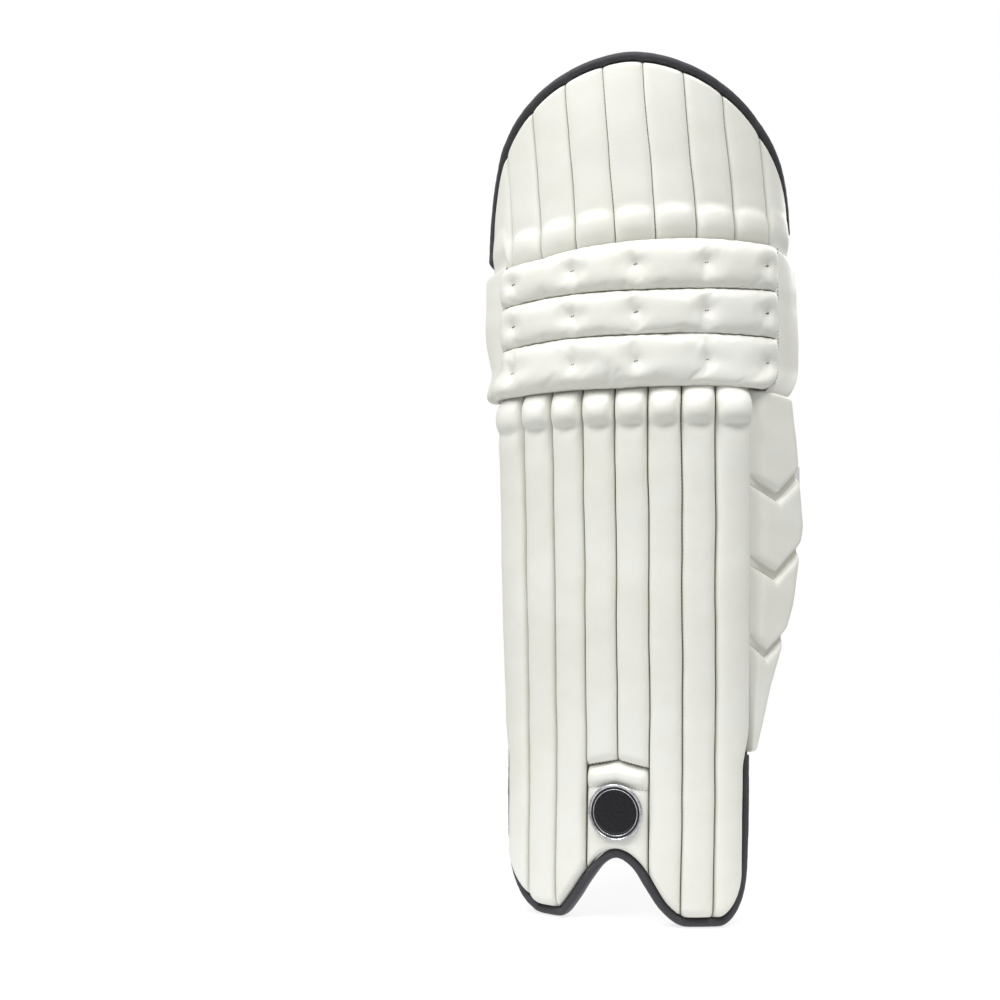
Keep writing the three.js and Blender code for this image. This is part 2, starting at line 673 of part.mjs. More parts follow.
function roundedFrame(length, tall, corner) {
  const path = new THREE.Path();
  const [x, y] = [length / 2 - corner, tall / 2 - corner];
  path.absarc(x, y, corner, 0, Math.PI / 2);
  path.absarc(-x, y, corner, Math.PI / 2, Math.PI);
  path.absarc(-x, -y, corner, Math.PI, 1.5 * Math.PI);
  path.absarc(x, -y, corner, 1.5 * Math.PI, 2 * Math.PI);
  return path.getPoints(2);
}

// A flat ring standing upright: the anchor holds one of its long bars and the strap the other.
function ringGeometry(width) {
  const tall = width + 2 * RING_OVERHANG;
  const hole = roundedFrame(RING_LENGTH - 2 * RING_BAR, tall - 2 * RING_BAR, RING_HOLE_CORNER);
  const frame = new THREE.Shape(roundedFrame(RING_LENGTH, tall, RING_CORNER));
  frame.holes.push(new THREE.Path(hole));
  const geometry = new THREE.ExtrudeGeometry(frame, { depth: RING_BAR, bevelEnabled: false });
  return geometry.translate(0, 0, -RING_BAR / 2).rotateX(Math.PI / 2);
}

// How much of the strap's width a tab takes: pointed at its start, or rounded at its end.
function tabShare(pointed, v) {
  return TAB_SHARE * (pointed ? Math.min(1, 0.2 + 3 * v) : Math.sqrt(1 - 0.8 * v * v));
}

for (const { name, width, seat, fold, route, end, strapEnd, patchStart, tab } of STRAPS) {
  const whole = stripCurve([...route, ...end]);
  const strapLift = patchStart === undefined ? 0 : LIFT;
  const heading = whole.getTangentAt(0).setZ(0).normalize();
  const start = whole.getPointAt(0).addScaledVector(outwardAt(whole, 0), strapLift);
  const ring = addPiece(`${name}_strap_ring`, ringGeometry(width), CLEAR_PLASTIC, 0.25);
  ring.position.copy(start).addScaledVector(heading, -RING_REACH);
  ring.rotation.z = Math.atan2(heading.y, heading.x);
  const bar = ring.position.clone().addScaledVector(heading, -RING_REACH);
  const beforeBar = bar.clone().addScaledVector(heading, -RING_BAR);
  const anchor = stripCurve([...seat, ...fold, beforeBar, bar]);
  addPiece(`${name}_strap_anchor`, band(anchor, 0, 1, 14, 0, () => width), WEBBING, 0.85);
  addPiece(`${name}_strap`, band(whole, 0, strapEnd, 18, strapLift, () => width), WEBBING, 0.85);
  if (patchStart !== undefined) {
    addPiece(`${name}_strap_patch`, band(whole, patchStart, 1, 14, 0, () => width), IVORY, 0.8);
  }
  const tabWidth = (v) => width * tabShare(tab.pointed, v);
  const tabBand = band(whole, tab.start, tab.end, 8, strapLift + LIFT, tabWidth);
  addPiece(`${name}_strap_tab`, tabBand, tab.color, 0.6);
}

pad.position.set(ORIGIN_SHIFT.x, ORIGIN_SHIFT.y, 0);

export default pad;
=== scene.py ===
"""A cricket batting pad: its leather, cloth, webbing and stitching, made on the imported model."""
import functools
import math

import bmesh
import bpy
import numpy as np
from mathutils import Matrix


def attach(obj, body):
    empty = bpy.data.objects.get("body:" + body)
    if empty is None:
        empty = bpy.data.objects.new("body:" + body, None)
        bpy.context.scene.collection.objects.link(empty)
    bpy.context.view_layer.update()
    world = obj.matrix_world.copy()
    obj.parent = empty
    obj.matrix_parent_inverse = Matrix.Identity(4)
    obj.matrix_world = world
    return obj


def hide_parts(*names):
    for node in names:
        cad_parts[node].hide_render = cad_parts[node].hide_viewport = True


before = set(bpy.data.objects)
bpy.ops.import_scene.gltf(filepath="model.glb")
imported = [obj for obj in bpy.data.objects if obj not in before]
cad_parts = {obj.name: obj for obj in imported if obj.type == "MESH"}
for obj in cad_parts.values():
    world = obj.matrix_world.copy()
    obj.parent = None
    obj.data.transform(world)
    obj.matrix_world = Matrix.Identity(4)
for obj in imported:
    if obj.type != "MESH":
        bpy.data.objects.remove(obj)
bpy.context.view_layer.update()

# Studio: a plain white floor under an even white sky, two soft lamps above the pad's front, at its left
# and right, and a larger one behind it for the lining. The camera stands at the photograph's viewing
# angle, a little to the outer side of the leg and level with the middle of the pad.
PAD_AXIS = (-0.008, -0.033)
CAMERA_AZIMUTH = math.radians(13)
CAMERA_TURN = math.radians(4.67)
CAMERA_DISTANCE = 1.2
CAMERA_HEIGHT = 0.35
SENSOR_WIDTH = 36
FOCAL_PIXELS = 1443
IMAGE_PIXELS = 1000
LAMP_AIM = (*PAD_AXIS, 0.38)
LAMPS = (
    # name, place and size in metres, watts
    ("front_lamp", (-0.65, -0.9, 1.6), 0.9, 18.5),
    ("side_lamp", (0.7, -0.75, 2.0), 0.8, 18),
    ("back_lamp", (0.8, 1.9, 1.6), 1.6, 29),
)
WHITE = (1, 1, 1, 1)
SKY_STRENGTH = 0.42
FLOOR_SIZE = 0.86
FLOOR_GREY = (0.22, 0.22, 0.22, 1)
FLOOR_GLOW = 0.77

scene = bpy.context.scene
scene.view_settings.view_transform = "Standard"


def link(obj):
    scene.collection.objects.link(obj)
    return obj


for name, place, size, watts in LAMPS:
    lamp = bpy.data.lights.new(name, "AREA")
    lamp.shape = "DISK"
    lamp.size = size
    lamp.energy = watts
    holder = link(bpy.data.objects.new(name, lamp))
    holder.location = place
    aim = np.array(LAMP_AIM) - np.array(place)
    level = math.hypot(aim[0], aim[1])
    holder.rotation_euler = (math.atan2(level, -aim[2]), 0, math.atan2(-aim[0], aim[1]))

lens = bpy.data.cameras.new("photograph")
lens.sensor_width = SENSOR_WIDTH
lens.lens = SENSOR_WIDTH * FOCAL_PIXELS / IMAGE_PIXELS
camera = link(bpy.data.objects.new("photograph", lens))
camera.location = (
    PAD_AXIS[0] + CAMERA_DISTANCE * math.sin(CAMERA_AZIMUTH),
    PAD_AXIS[1] - CAMERA_DISTANCE * math.cos(CAMERA_AZIMUTH),
    CAMERA_HEIGHT,
)
camera.rotation_euler = (math.pi / 2, 0, CAMERA_AZIMUTH + CAMERA_TURN)
scene.camera = camera

sky = bpy.data.worlds.new("white_sky")
sky.use_nodes = True
scene.world = sky
sky_nodes = sky.node_tree.nodes
sky_light = sky_nodes["Background"]
sky_light.inputs["Color"].default_value = WHITE
sky_light.inputs["Strength"].default_value = SKY_STRENGTH
sky_seen = sky_nodes.new("ShaderNodeBackground")
sky_seen.inputs["Color"].default_value = WHITE
sky_ray = sky_nodes.new("ShaderNodeLightPath")
sky_mix = sky_nodes.new("ShaderNodeMixShader")
sky.node_tree.links.new(sky_ray.outputs["Is Camera Ray"], sky_mix.inputs[0])
sky.node_tree.links.new(sky_light.outputs[0], sky_mix.inputs[1])
sky.node_tree.links.new(sky_seen.outputs[0], sky_mix.inputs[2])
sky.node_tree.links.new(sky_mix.outputs[0], sky_nodes["World Output"].inputs[0])

floor_mesh = bpy.data.meshes.new("floor")
corner = FLOOR_SIZE / 2
floor_corners = [(-corner, -corner, 0), (corner, -corner, 0), (corner, corner, 0), (-corner, corner, 0)]
floor_mesh.from_pydata(floor_corners, [], [(0, 1, 2, 3)])
floor = link(bpy.data.objects.new("floor", floor_mesh))
floor_paint = bpy.data.materials.new("white_floor")
floor_paint.use_nodes = True
floor_surface = floor_paint.node_tree.nodes["Principled BSDF"]
floor_surface.inputs["Base Color"].default_value = FLOOR_GREY
floor_surface.inputs["Roughness"].default_value = 0.9
floor_surface.inputs["Emission Color"].default_value = WHITE
floor_surface.inputs["Emission Strength"].default_value = FLOOR_GLOW
floor_mesh.materials.append(floor_paint)

# Shin: eight long ribs of soft foam under ivory leather cloth, sewn down side by side to one curved layer
# of cloth. Each swells to a round head under the knee roll, and ends at the bound edge of the foot. The
# pad is laid out in millimetres: across the layer, up it and out of it, as the part is.
MM = 0.001
SECTION_HEIGHTS = np.array([0, 150, 300, 426, 462, 560, 714.0])
SECTIONS = np.array([
    # sideways, back, turn, front radius, bend start, bend radius, outer angle, inner angle
    [0, 0, 0, 200, 78, 55, 48, 48],
    [0, 6, 0, 225, 78, 50, 48, 48],
    [0, 2, 0, 264, 79, 50, 48, 48],
    [0, -4, 0, 264, 79, 50, 48, 48],
    [18, -6, 8, 162, 112, 40, 62, 52],
    [18, -8, 8, 158, 112, 40, 73, 52],
    [16, -24, 8, 155, 112, 44, 74, 54],
], float)
FOOT_EDGE = [
    # across, height
    (-107, 139), (-107, 80), (-103, 40), (-92, 18), (-78, 4), (-68, 0), (-48, 0),
    (-36, 13), (-22, 34), (-10, 49), (0, 54), (12, 47), (22, 32), (36, 12),
    (53, 0), (84, 0), (95, 9), (104, 30), (107, 70), (107, 139),
]
EDGE_POINTS = 400
FOOT_SMOOTHING = 13
SHIN_RIB_COUNT = 8
SHIN_RIB_WIDTH = 26.6
SHIN_RIB_WIDTH_AT_FOOT = 25.6
SHIN_RIB_DEPTH = 13.6
SHIN_RIB_LENGTH = 430
SHIN_EDGE = 106
SHIN_TOP = 426
FOOT_LIMIT = 98.4
FOOT_BINDING_CLEAR = 132
SHIN_FULL_WIDTH_FROM = 170
BINDING_DEPTH = 7
BINDING_GAP = 0.8
ROLL_SEAMS = (441, 484, 520, 555)
ROLL_ARCH = 9
ROLL_LIFTS = (
    # lift at the outer end, where it starts across the knee, power
    (7, 0, 1),
    (7, 0, 1.2),
    (11, 0, 1.5),
    (13, -75, 0.75),
)
ROLL_HALF_LENGTH = 126
ROLL_ENDS = (-119, 114)
PATCH_TOP = 134
PATCH_TOP_DROP = 6
PATCH_HALF_WIDTH = 26
RIBS_OVER_PATCH = (4, 5)
LAYER_GAP = 0.5
SEAM_GAP = 0.12
SEAM_WANDER = 0.4
SHIN_SEAM_HEIGHT = 0.3
HEAD_LENGTH = 30
HEAD_TUCK = 14
HEAD_SWELL = 7.0
FIRST_HEAD_SHARE = 0.6
SHIN_DIP_AT_ROLL = 0.35
DIP_LENGTH = (12, -5)
IVORY = (0.85, 0.852, 0.802)
# Seam colour of the leather: painted shade in its seams, with some dirt.
SEAM_SHADE_AND_DIRT = (0.33, 0.3, 0.25)


def mix(a, b, t):
    return a + (b - a) * t


def smooth(low, high, value):
    t = np.clip((value - low) / (high - low), 0, 1)
    return t * t * (3 - 2 * t)


def pad_point(across, height, out):
    """Points of the pad, in metres, from millimetres across the layer, up it and out of it."""
    across, height, out = np.broadcast_arrays(*(np.asarray(x, float) for x in (across, height, out)))
    held = np.clip(height, SECTION_HEIGHTS[0], SECTION_HEIGHTS[-1])
    above = np.clip(np.searchsorted(SECTION_HEIGHTS, held), 1, len(SECTION_HEIGHTS) - 1)
    share = smooth(SECTION_HEIGHTS[above - 1], SECTION_HEIGHTS[above], held)
    rows = mix(SECTIONS[above - 1], SECTIONS[above], share[..., None])
    sideways, back, turn, radius, start, bend, outer, inner = np.moveaxis(rows, -1, 0)
    reach = np.abs(across)
    front = np.minimum(reach, start) / radius
    beyond = np.maximum(reach - start, 0)
    limit = np.radians(np.where(across < 0, inner, outer))
    angle = np.where(beyond > 0, np.minimum(front + beyond / bend, limit), front)
    straight = beyond - (angle - front) * bend
    x = radius * np.sin(front) + bend * (np.sin(angle) - np.sin(front))
    x += straight * np.cos(angle) + out * np.sin(angle)
    y = radius * (1 - np.cos(front)) + bend * (np.cos(front) - np.cos(angle))
    y += straight * np.sin(angle) - out * np.cos(angle)
    x = np.where(across < 0, -x, x)
    turn = np.radians(turn)
    plan_x = x * np.cos(turn) - y * np.sin(turn) + sideways
    plan_y = x * np.sin(turn) + y * np.cos(turn) + back
    return np.stack([plan_x * MM + PAD_AXIS[0], plan_y * MM + PAD_AXIS[1], height * MM], -1)


def shin_point(across, height, out):
    """Points of the shin, whose ribs and wings run straight up behind the knee roll."""
    points = pad_point(across, np.minimum(height, SHIN_TOP), out)
    points[..., 2] = np.asarray(height, float) * MM
    return points


def walked_length(points):
    """The length of a line of points up to each of them."""
    return np.concatenate([[0], np.cumsum(np.linalg.norm(np.diff(points, axis=0), axis=1))])


def smooth_curve(points, count):
    """Evenly spaced points of a smooth curve through the given ones."""
    points = np.asarray(points, float)
    path = np.vstack([2 * points[0] - points[1], points, 2 * points[-1] - points[-2]])
    knots = np.linalg.norm(np.diff(path, axis=0), axis=1) ** 0.5
    t = np.linspace(0, 1, 40, endpoint=False)[:, None]
    runs = []
    for i in range(1, len(path) - 2):
        before, a, b, after = path[i - 1:i + 3]
        d0, d1, d2 = knots[i - 1:i + 2]
        leave = ((a - before) / d0 - (b - before) / (d0 + d1) + (b - a) / d1) * d1
        arrive = ((b - a) / d1 - (after - a) / (d1 + d2) + (after - b) / d2) * d1
        bend = 3 * (b - a) - 2 * leave - arrive
        twist = 2 * (a - b) + leave + arrive
        runs.append(a + leave * t + bend * t**2 + twist * t**3)
    dense = np.vstack([*runs, path[-2]])
    walked = walked_length(dense)
    even = np.linspace(0, walked[-1], count + 1)
    return np.stack([np.interp(even, walked, column) for column in dense.T], -1)


foot_edge = smooth_curve(FOOT_EDGE, EDGE_POINTS)
foot_edge[:, 1] = np.maximum(foot_edge[:, 1], 0)
window = np.hanning(FOOT_SMOOTHING)[1:-1]
for coordinate in (0, 1):
    padded = np.pad(foot_edge[:, coordinate], len(window) // 2, mode="reflect", reflect_type="odd")
    foot_edge[:, coordinate] = np.convolve(padded, window / window.sum(), mode="valid")


def beside_binding(edge, across, inwards):
    """The height just clear of a bound edge: inwards is 1 where the pad lies above it, -1 where below."""
    clear = BINDING_DEPTH + BINDING_GAP
    offset = np.abs(edge[:, 0] - np.asarray(across, float)[..., None])
    reach = np.sqrt(np.maximum(clear**2 - offset**2, 0))
    return inwards * np.max(np.where(offset < clear, inwards * edge[:, 1] + reach, -np.inf), axis=-1)


def roll_seam(level, across):
    """The height of a roll's lower seam, or of the upper roll's top: arched and lifted at the outer end."""
    lift, start, power = ROLL_LIFTS[level]
    share = np.clip((across - start) / (ROLL_HALF_LENGTH - start), 0, 1) ** power
    return ROLL_SEAMS[level] - ROLL_ARCH * (across / ROLL_HALF_LENGTH) ** 2 + lift * share


def patch_top(across):
    return PATCH_TOP - PATCH_TOP_DROP * np.abs(across) / PATCH_HALF_WIDTH


def uneven(along, wavelength, seed):
    """A gentle hand-made unevenness, from -1 to 1, the same each run."""
    dice = np.random.default_rng(seed)
    turns = 2 * np.pi * along / wavelength
    total = 0
    for octave in (1, 1.7, 2.9):
        total = total + np.sin(turns * octave + dice.uniform(0, 2 * np.pi)) / octave
    return total / 1.9


def shin_seam(number, height):
    """Where a seam of the shin runs: evenly spaced, a little closer at the foot and not quite straight."""
    width = mix(SHIN_RIB_WIDTH_AT_FOOT, SHIN_RIB_WIDTH, np.minimum(1, height / ROLL_SEAMS[0]))
    above_foot = (height - FOOT_BINDING_CLEAR) / (SHIN_FULL_WIDTH_FROM - FOOT_BINDING_CLEAR)
    limit = mix(FOOT_LIMIT, SHIN_EDGE, np.clip(above_foot, 0, 1))
    wander = SEAM_WANDER * uneven(height, 130, number) if 0 < number < SHIN_RIB_COUNT else 0
    return np.clip((number - SHIN_RIB_COUNT / 2) * width + wander, -limit, limit)


def stations(length, step):
    """Shares from 0 to 1 along a length, closer together at both ends."""
    t = np.linspace(0, 1, max(8, round(length / step)) + 1)
    return t - 0.86 * np.sin(2 * np.pi * t) / (2 * np.pi)


def edge_to_edge(count):
    """Shares from -1 to 1 across a piece, closer together at both edges."""
    return np.sin(np.linspace(-np.pi / 2, np.pi / 2, count))


def rounded_end(distance, length):
    """How full a stuffed piece is at a distance from its closed end."""
    left = 1 - np.clip(distance / length, 0, 1)
    return (1 - left**2.5) ** 0.42


def quads(grid):
    """The four-sided faces of a grid of point numbers."""
    corners = [grid[:-1, :-1], grid[:-1, 1:], grid[1:, 1:], grid[1:, :-1]]
    return np.stack(corners, -1).reshape(-1, 4)


def lay_flat(mesh, flat):
    """Gives a mesh its UV map: one pair of metres for each point."""
    corners = np.zeros(len(mesh.loops), int)
    mesh.loops.foreach_get("vertex_index", corners)
    mesh.uv_layers.new(name="Flat").data.foreach_set("uv", flat.reshape(-1, 2)[corners].ravel())


def closed_mesh(name, front, back, flat, marks):
    """A stuffed piece: a front and a back grid of points that share their rim. flat is the grid of UVs,
    in metres, and marks are grids of numbers kept as attributes for the material."""
    rows, columns = front.shape[:2]
    within = (rows - 2, columns - 2)
    index = np.arange(rows * columns).reshape(rows, columns)
    behind = index.copy()
    behind[1:-1, 1:-1] = rows * columns + np.arange(within[0] * within[1]).reshape(within)

    def both_sides(front_grid, back_grid):
        inner = back_grid[1:-1, 1:-1].reshape(within[0] * within[1], -1)
        return np.concatenate([front_grid.reshape(rows * columns, -1), inner])

    points = both_sides(front, back)
    faces = np.concatenate([quads(index), quads(behind[:, ::-1])])
    a, b, c, d = (points[faces[:, i]] for i in range(4))
    if np.sum(np.cross(b - a, c - a) * a) + np.sum(np.cross(c - a, d - a) * a) < 0:
        faces = faces[:, ::-1]
    mesh = bpy.data.meshes.new(name)
    mesh.from_pydata(points.tolist(), [], faces.tolist())
    mesh.polygons.foreach_set("use_smooth", np.ones(len(faces), bool))
    lay_flat(mesh, both_sides(flat, flat))
    for key, values in marks.items():
        attribute = mesh.attributes.new(key, "FLOAT", "POINT")
        attribute.data.foreach_set("value", both_sides(values, values).ravel())
    mesh.update()
    return mesh


def add_piece(name, mesh, material, nodes=()):
    """The finished piece: it wears the material, stands for its nodes and rides on the pad."""
    piece = link(bpy.data.objects.new(name, mesh))
    if not mesh.materials:
        mesh.materials.append(material)
    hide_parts(*nodes)
    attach(piece, "root")
    return piece


class Value:
    """A socket of a material's node tree that takes Python's operators."""

    def __init__(self, tree, socket=None):
        self.tree = tree
        self.socket = socket

    def node(self, kind, settings=(), sockets=(), output=0):
        made = self.tree.nodes.new("ShaderNode" + kind)
        for key, value in dict(settings).items():
            setattr(made, key, value)
        for key, value in dict(sockets).items():
            if isinstance(value, Value):
                self.tree.links.new(value.socket, made.inputs[key])
            else:
                made.inputs[key].default_value = value
        return Value(self.tree, made.outputs[output])

    def math(self, operation, *values):
        return self.node("Math", {"operation": operation}, dict(enumerate(values)))

    def __add__(self, other):
        return self.math("ADD", self, other)

    def __sub__(self, other):
        return self.math("SUBTRACT", self, other)

    def __rsub__(self, other):
        return self.math("SUBTRACT", other, self)

    def __mul__(self, other):
        return self.math("MULTIPLY", self, other)

    def step(self, low, high):
        """0 below low, 1 above high, and smooth between."""
        settings = {"interpolation_type": "SMOOTHSTEP"}
        return self.node("MapRange", settings, {0: self, 1: low, 2: high})

    def tint(self, low, high):
        """A colour that goes from low to high as this value goes from 0 to 1."""
        ends = [c if isinstance(c, Value) else (*c, 1) for c in (low, high)]
        return self.node("Mix", {"data_type": "RGBA"}, {0: self, 6: ends[0], 7: ends[1]}, 2)

    def noise(self, scale, detail=2.0, roughness=0.5, distortion=0.0):
        """Noise at this vector, scale to the metre."""
        sockets = {"Scale": scale, "Detail": detail, "Roughness": roughness, "Distortion": distortion}
        return self.node("TexNoise", (), {"Vector": self, **sockets})

    def wave(self, direction, scale, distortion, detail=2.0):
        """Bands across this vector in the X or Y direction, scale to the metre."""
        sockets = {"Vector": self, "Scale": scale, "Distortion": distortion, "Detail": detail}
        return self.node("TexWave", {"bands_direction": direction}, sockets, 1)

    def moved(self, **sockets):
        """This vector after a Mapping node, which takes Location, Rotation and Scale."""
        return self.node("Mapping", (), {"Vector": self, **sockets})

    def mark(self, name):
        """A number kept on the piece's points."""
        return self.node("Attribute", {"attribute_name": name}, (), 2)

    def flat(self):
        """The piece's own UV map, in metres."""
        return self.node("UVMap", {"uv_map": "Flat"})

    def parts(self):
        """The first two parts of this vector."""
        apart = self.node("SeparateXYZ", (), {0: self}).socket.node
        return [Value(self.tree, socket) for socket in apart.outputs[:2]]


def new_finish(name, roughness):
    """A new material: with it come the place on the piece, in metres, and its surface."""
    material = bpy.data.materials.new(name)
    material.use_nodes = True
    surface = material.node_tree.nodes["Principled BSDF"]
    surface.inputs["Roughness"].default_value = roughness
    place = Value(material.node_tree).node("TexCoord", output="Object")
    return material, place, surface


def set_socket(surface, socket, value):
    value.tree.links.new(value.socket, surface.inputs[socket])


def set_bump(surface, height, depth_mm):
    """Raises the surface by up to depth_mm where height goes from 0 to 1."""
    sockets = {"Strength": 1.0, "Distance": depth_mm * MM, "Height": height}
    set_socket(surface, "Normal", height.node("Bump", (), sockets))


def darker(color, share):
    return tuple(c * share for c in color)


def leather_cloth(name, color, shade_and_dirt_color):
    """Coated cloth with a fine pebble grain, a faint cloudiness, and painted shade, with some dirt,
    darkening its seams and creases.
    """
    material, place, surface = new_finish(name, 0.46)
    clouds = place.noise(9, 3)
    patches = place.noise(55, 4, 0.6)
    worn = tuple(c * f for c, f in zip(color, (0.95, 0.945, 0.915)))
    body = (clouds * 0.6 + patches * 0.4).step(0.35, 0.68).tint(color, worn)
    # Seams and creases are tinted towards the seam colour: painted shade, with some dirt.
    shade = place.mark("shade_and_dirt").step(0.04, 0.95)
    set_socket(surface, "Base Color", shade.tint(body, shade_and_dirt_color))
    set_socket(surface, "Roughness", patches * 0.16 + 0.38)
    grain = place.node("TexVoronoi", {"feature": "F1"}, {"Vector": place, "Scale": 900}, 0)
    fine = place.noise(2600, 2)
    wrinkles = place.noise(150, 3, 0.55)
    set_bump(surface, grain * 0.45 + fine * 0.2 + wrinkles * 0.6, 0.16)
    return material


ivory_leather = leather_cloth("ivory_leather_cloth", IVORY, SEAM_SHADE_AND_DIRT)


def lay_piece(
    name, nodes, point, grid, front, back, marks, material=ivory_leather,
):
    """A piece laid on the pad. grid holds its millimetres across and up, front and back are how far its
    two sides stand out of the layer, and marks are numbers for its material."""
    across, height = np.broadcast_arrays(*grid)
    flat = np.stack([across, height], -1) * MM
    marks = {key: np.broadcast_to(values, across.shape) for key, values in marks.items()}
    mesh = closed_mesh(name, point(across, height, front), point(across, height, back), flat, marks)
    return add_piece(name, mesh, material, nodes)


def rib_rise(side, seam):
    """The cross section of a rib: a broad, slightly domed face that turns down to its seams' height."""
    return mix(seam, 1, 0.84 * (1 - np.abs(side) ** 7) ** 0.5 + 0.16 * (1 - side**2))


def rib_head(from_roll, side, length):
    """The round swelling where a rib meets the knee roll: fullest near its far end, then a slight pinch."""
    reach = length * (0.84 + 0.16 * np.sqrt(1 - side**2))
    along = np.clip((from_roll + 1) / (reach + 1), 0, 1)
    bulb = np.sin(np.pi * along**1.5) ** 0.7 * (1 - np.abs(side) ** 2.4) ** 0.6
    return bulb - 0.13 * np.exp(-(((from_roll - 1.05 * reach) / 5) ** 2)) * (1 - side**4)


for number in range(1, SHIN_RIB_COUNT + 1):
    node = f"shin_rib_{number}"
    side = edge_to_edge(29)[None, :]
    share = (side + 1) / 2
    nominal = mix(shin_seam(number - 1, 0), shin_seam(number, 0), share)
    low = beside_binding(foot_edge, nominal, 1)
    if number in RIBS_OVER_PATCH:
        low = patch_top(nominal) + SEAM_GAP
    high = roll_seam(0, nominal) + HEAD_TUCK
    height = mix(low, high, stations(SHIN_RIB_LENGTH, 2.6)[:, None])
    across = mix(shin_seam(number - 1, height) + SEAM_GAP, shin_seam(number, height) - SEAM_GAP, share)
    ends = rounded_end(height - low, 11) * rounded_end(high - height, 8)
    from_roll = high - HEAD_TUCK - height
    rise = rib_rise(side, SHIN_SEAM_HEIGHT) * (1 + 0.025 * uneven(height, 90, 20 + number))
    rise = rise * (1 - SHIN_DIP_AT_ROLL * smooth(*DIP_LENGTH, from_roll))
    swell = HEAD_SWELL * (FIRST_HEAD_SHARE if number == 1 else 1) * rib_head(from_roll, side, HEAD_LENGTH)
    out = LAYER_GAP + ends * (SHIN_RIB_DEPTH * rise + swell)
    # Painted shade, with some dirt, darkens the ribs' seams and their rounded ends.
    shade_and_dirt = np.maximum(smooth(0.55, SHIN_SEAM_HEIGHT, rise), 0.4 * smooth(0.5, 0, ends))
    marks = {"shade_and_dirt": shade_and_dirt}
    lay_piece(f"{node}_cover", [node], shin_point, (across, height), out, LAYER_GAP, marks)

# Seam thread of the shin: short dark stitches that sit deep between the ribs, as a lockstitch machine
# leaves them. They stop short of the heads and of the bound foot.
THREAD_GREY = (0.2, 0.19, 0.17)
SEWN_INPUTS = {"Lines": "Geometry", "Pitch": "Float", "Stitch Size": "Vector", "Thread": "Material"}
PATCH_SEAM = 4
STITCHES_FROM_FOOT = 6
STITCHES_FROM_ROLL = 8


def thread_finish(name, color):
    """Twisted polyester thread, with a painted highlight where its strands stand up."""
    material, place, surface = new_finish(name, 0.7)
    strands = place.noise(4200, 1)
    lighter = tuple(min(1, c * 1.25 + 0.02) for c in color)
    # Painted highlight: the colour is lighter where the strands stand up.
    set_socket(surface, "Base Color", strands.step(0.35, 0.65).tint(color, lighter))
    set_bump(surface, strands, 0.08)
    return material


def stitch_tree():
    """Stitches along sewn lines: pitch and size are in metres."""
    tree = bpy.data.node_groups.new("sewn_line", "GeometryNodeTree")
    for name, kind in SEWN_INPUTS.items():
        tree.interface.new_socket(name=name, in_out="INPUT", socket_type="NodeSocket" + kind)
    tree.interface.new_socket(name="Stitches", in_out="OUTPUT", socket_type="NodeSocketGeometry")

    def add(kind, settings=(), sockets=()):
        made = tree.nodes.new(kind)
        for key, value in dict(settings).items():
            setattr(made, key, value)
        for key, value in dict(sockets).items():
            if hasattr(value, "is_output"):
                tree.links.new(value, made.inputs[key])
            else:
                made.inputs[key].default_value = value
        return made.outputs

    given = add("NodeGroupInput")
    line = add("GeometryNodeMeshToCurve", (), {0: given["Lines"]})
    spacing = {"Curve": line[0], "Length": given["Pitch"]}
    spaced = add("GeometryNodeResampleCurve", {"mode": "LENGTH"}, spacing)
    along = add("GeometryNodeInputTangent")
    turn = add("FunctionNodeAlignRotationToVector", {"axis": "Z"}, {"Vector": along[0]})
    bead = add("GeometryNodeMeshUVSphere", (), {"Segments": 6, "Rings": 4, "Radius": 1.0})
    placing = {"Points": spaced[0], "Instance": bead[0], "Rotation": turn[0], "Scale": given["Stitch Size"]}
    sewn = add("GeometryNodeInstanceOnPoints", (), placing)
    real = add("GeometryNodeRealizeInstances", (), {0: sewn[0]})
    rounded = add("GeometryNodeSetShadeSmooth", (), {0: real[0]})
    worn = add("GeometryNodeSetMaterial", (), {"Geometry": rounded[0], "Material": given["Thread"]})
    add("NodeGroupOutput", (), {0: worn[0]})
    return tree


sewn_line = stitch_tree()


def sew(name, lines, thread, pitch, length, thick):
    """Stitches along lines of points, as one piece. pitch, length and thick are in millimetres."""
    points = np.concatenate(lines)
    edges = []
    first = 0
    for line in lines:
        edges += [(first + i, first + i + 1) for i in range(len(line) - 1)]
        first += len(line)
    mesh = bpy.data.meshes.new(name)
    mesh.from_pydata(points.tolist(), edges, [])
    guide = link(bpy.data.objects.new(name + "_guide", mesh))
    maker = guide.modifiers.new("sewn_line", "NODES")
    maker.node_group = sewn_line
    sizes = {
        "Pitch": pitch * MM,
        "Stitch Size": (thick / 2 * MM, thick / 2 * MM, length / 2 * MM),
        "Thread": thread,
    }
    for item in sewn_line.interface.items_tree:
        if item.name in sizes:
            maker[item.identifier] = sizes[item.name]
    graph = bpy.context.evaluated_depsgraph_get()
    stitches = bpy.data.meshes.new_from_object(guide.evaluated_get(graph), depsgraph=graph)
    stitches.name = name
    bpy.data.objects.remove(guide)
    return add_piece(name, stitches, thread)


dark_thread = thread_finish("dark_thread", THREAD_GREY)
shin_lines = []
for number in range(1, SHIN_RIB_COUNT):
    at_foot = float(shin_seam(number, np.array(0.0)))
    low = PATCH_TOP if number == PATCH_SEAM else float(beside_binding(foot_edge, np.array(at_foot), 1))
    height = np.arange(low + STITCHES_FROM_FOOT, ROLL_SEAMS[0] - STITCHES_FROM_ROLL, 4.0)
    seam_out = LAYER_GAP + SHIN_SEAM_HEIGHT * SHIN_RIB_DEPTH
    shin_lines.append(shin_point(shin_seam(number, height), height, seam_out))
sew("shin_seam_thread", shin_lines, dark_thread, 3.4, 2.6, 0.6)

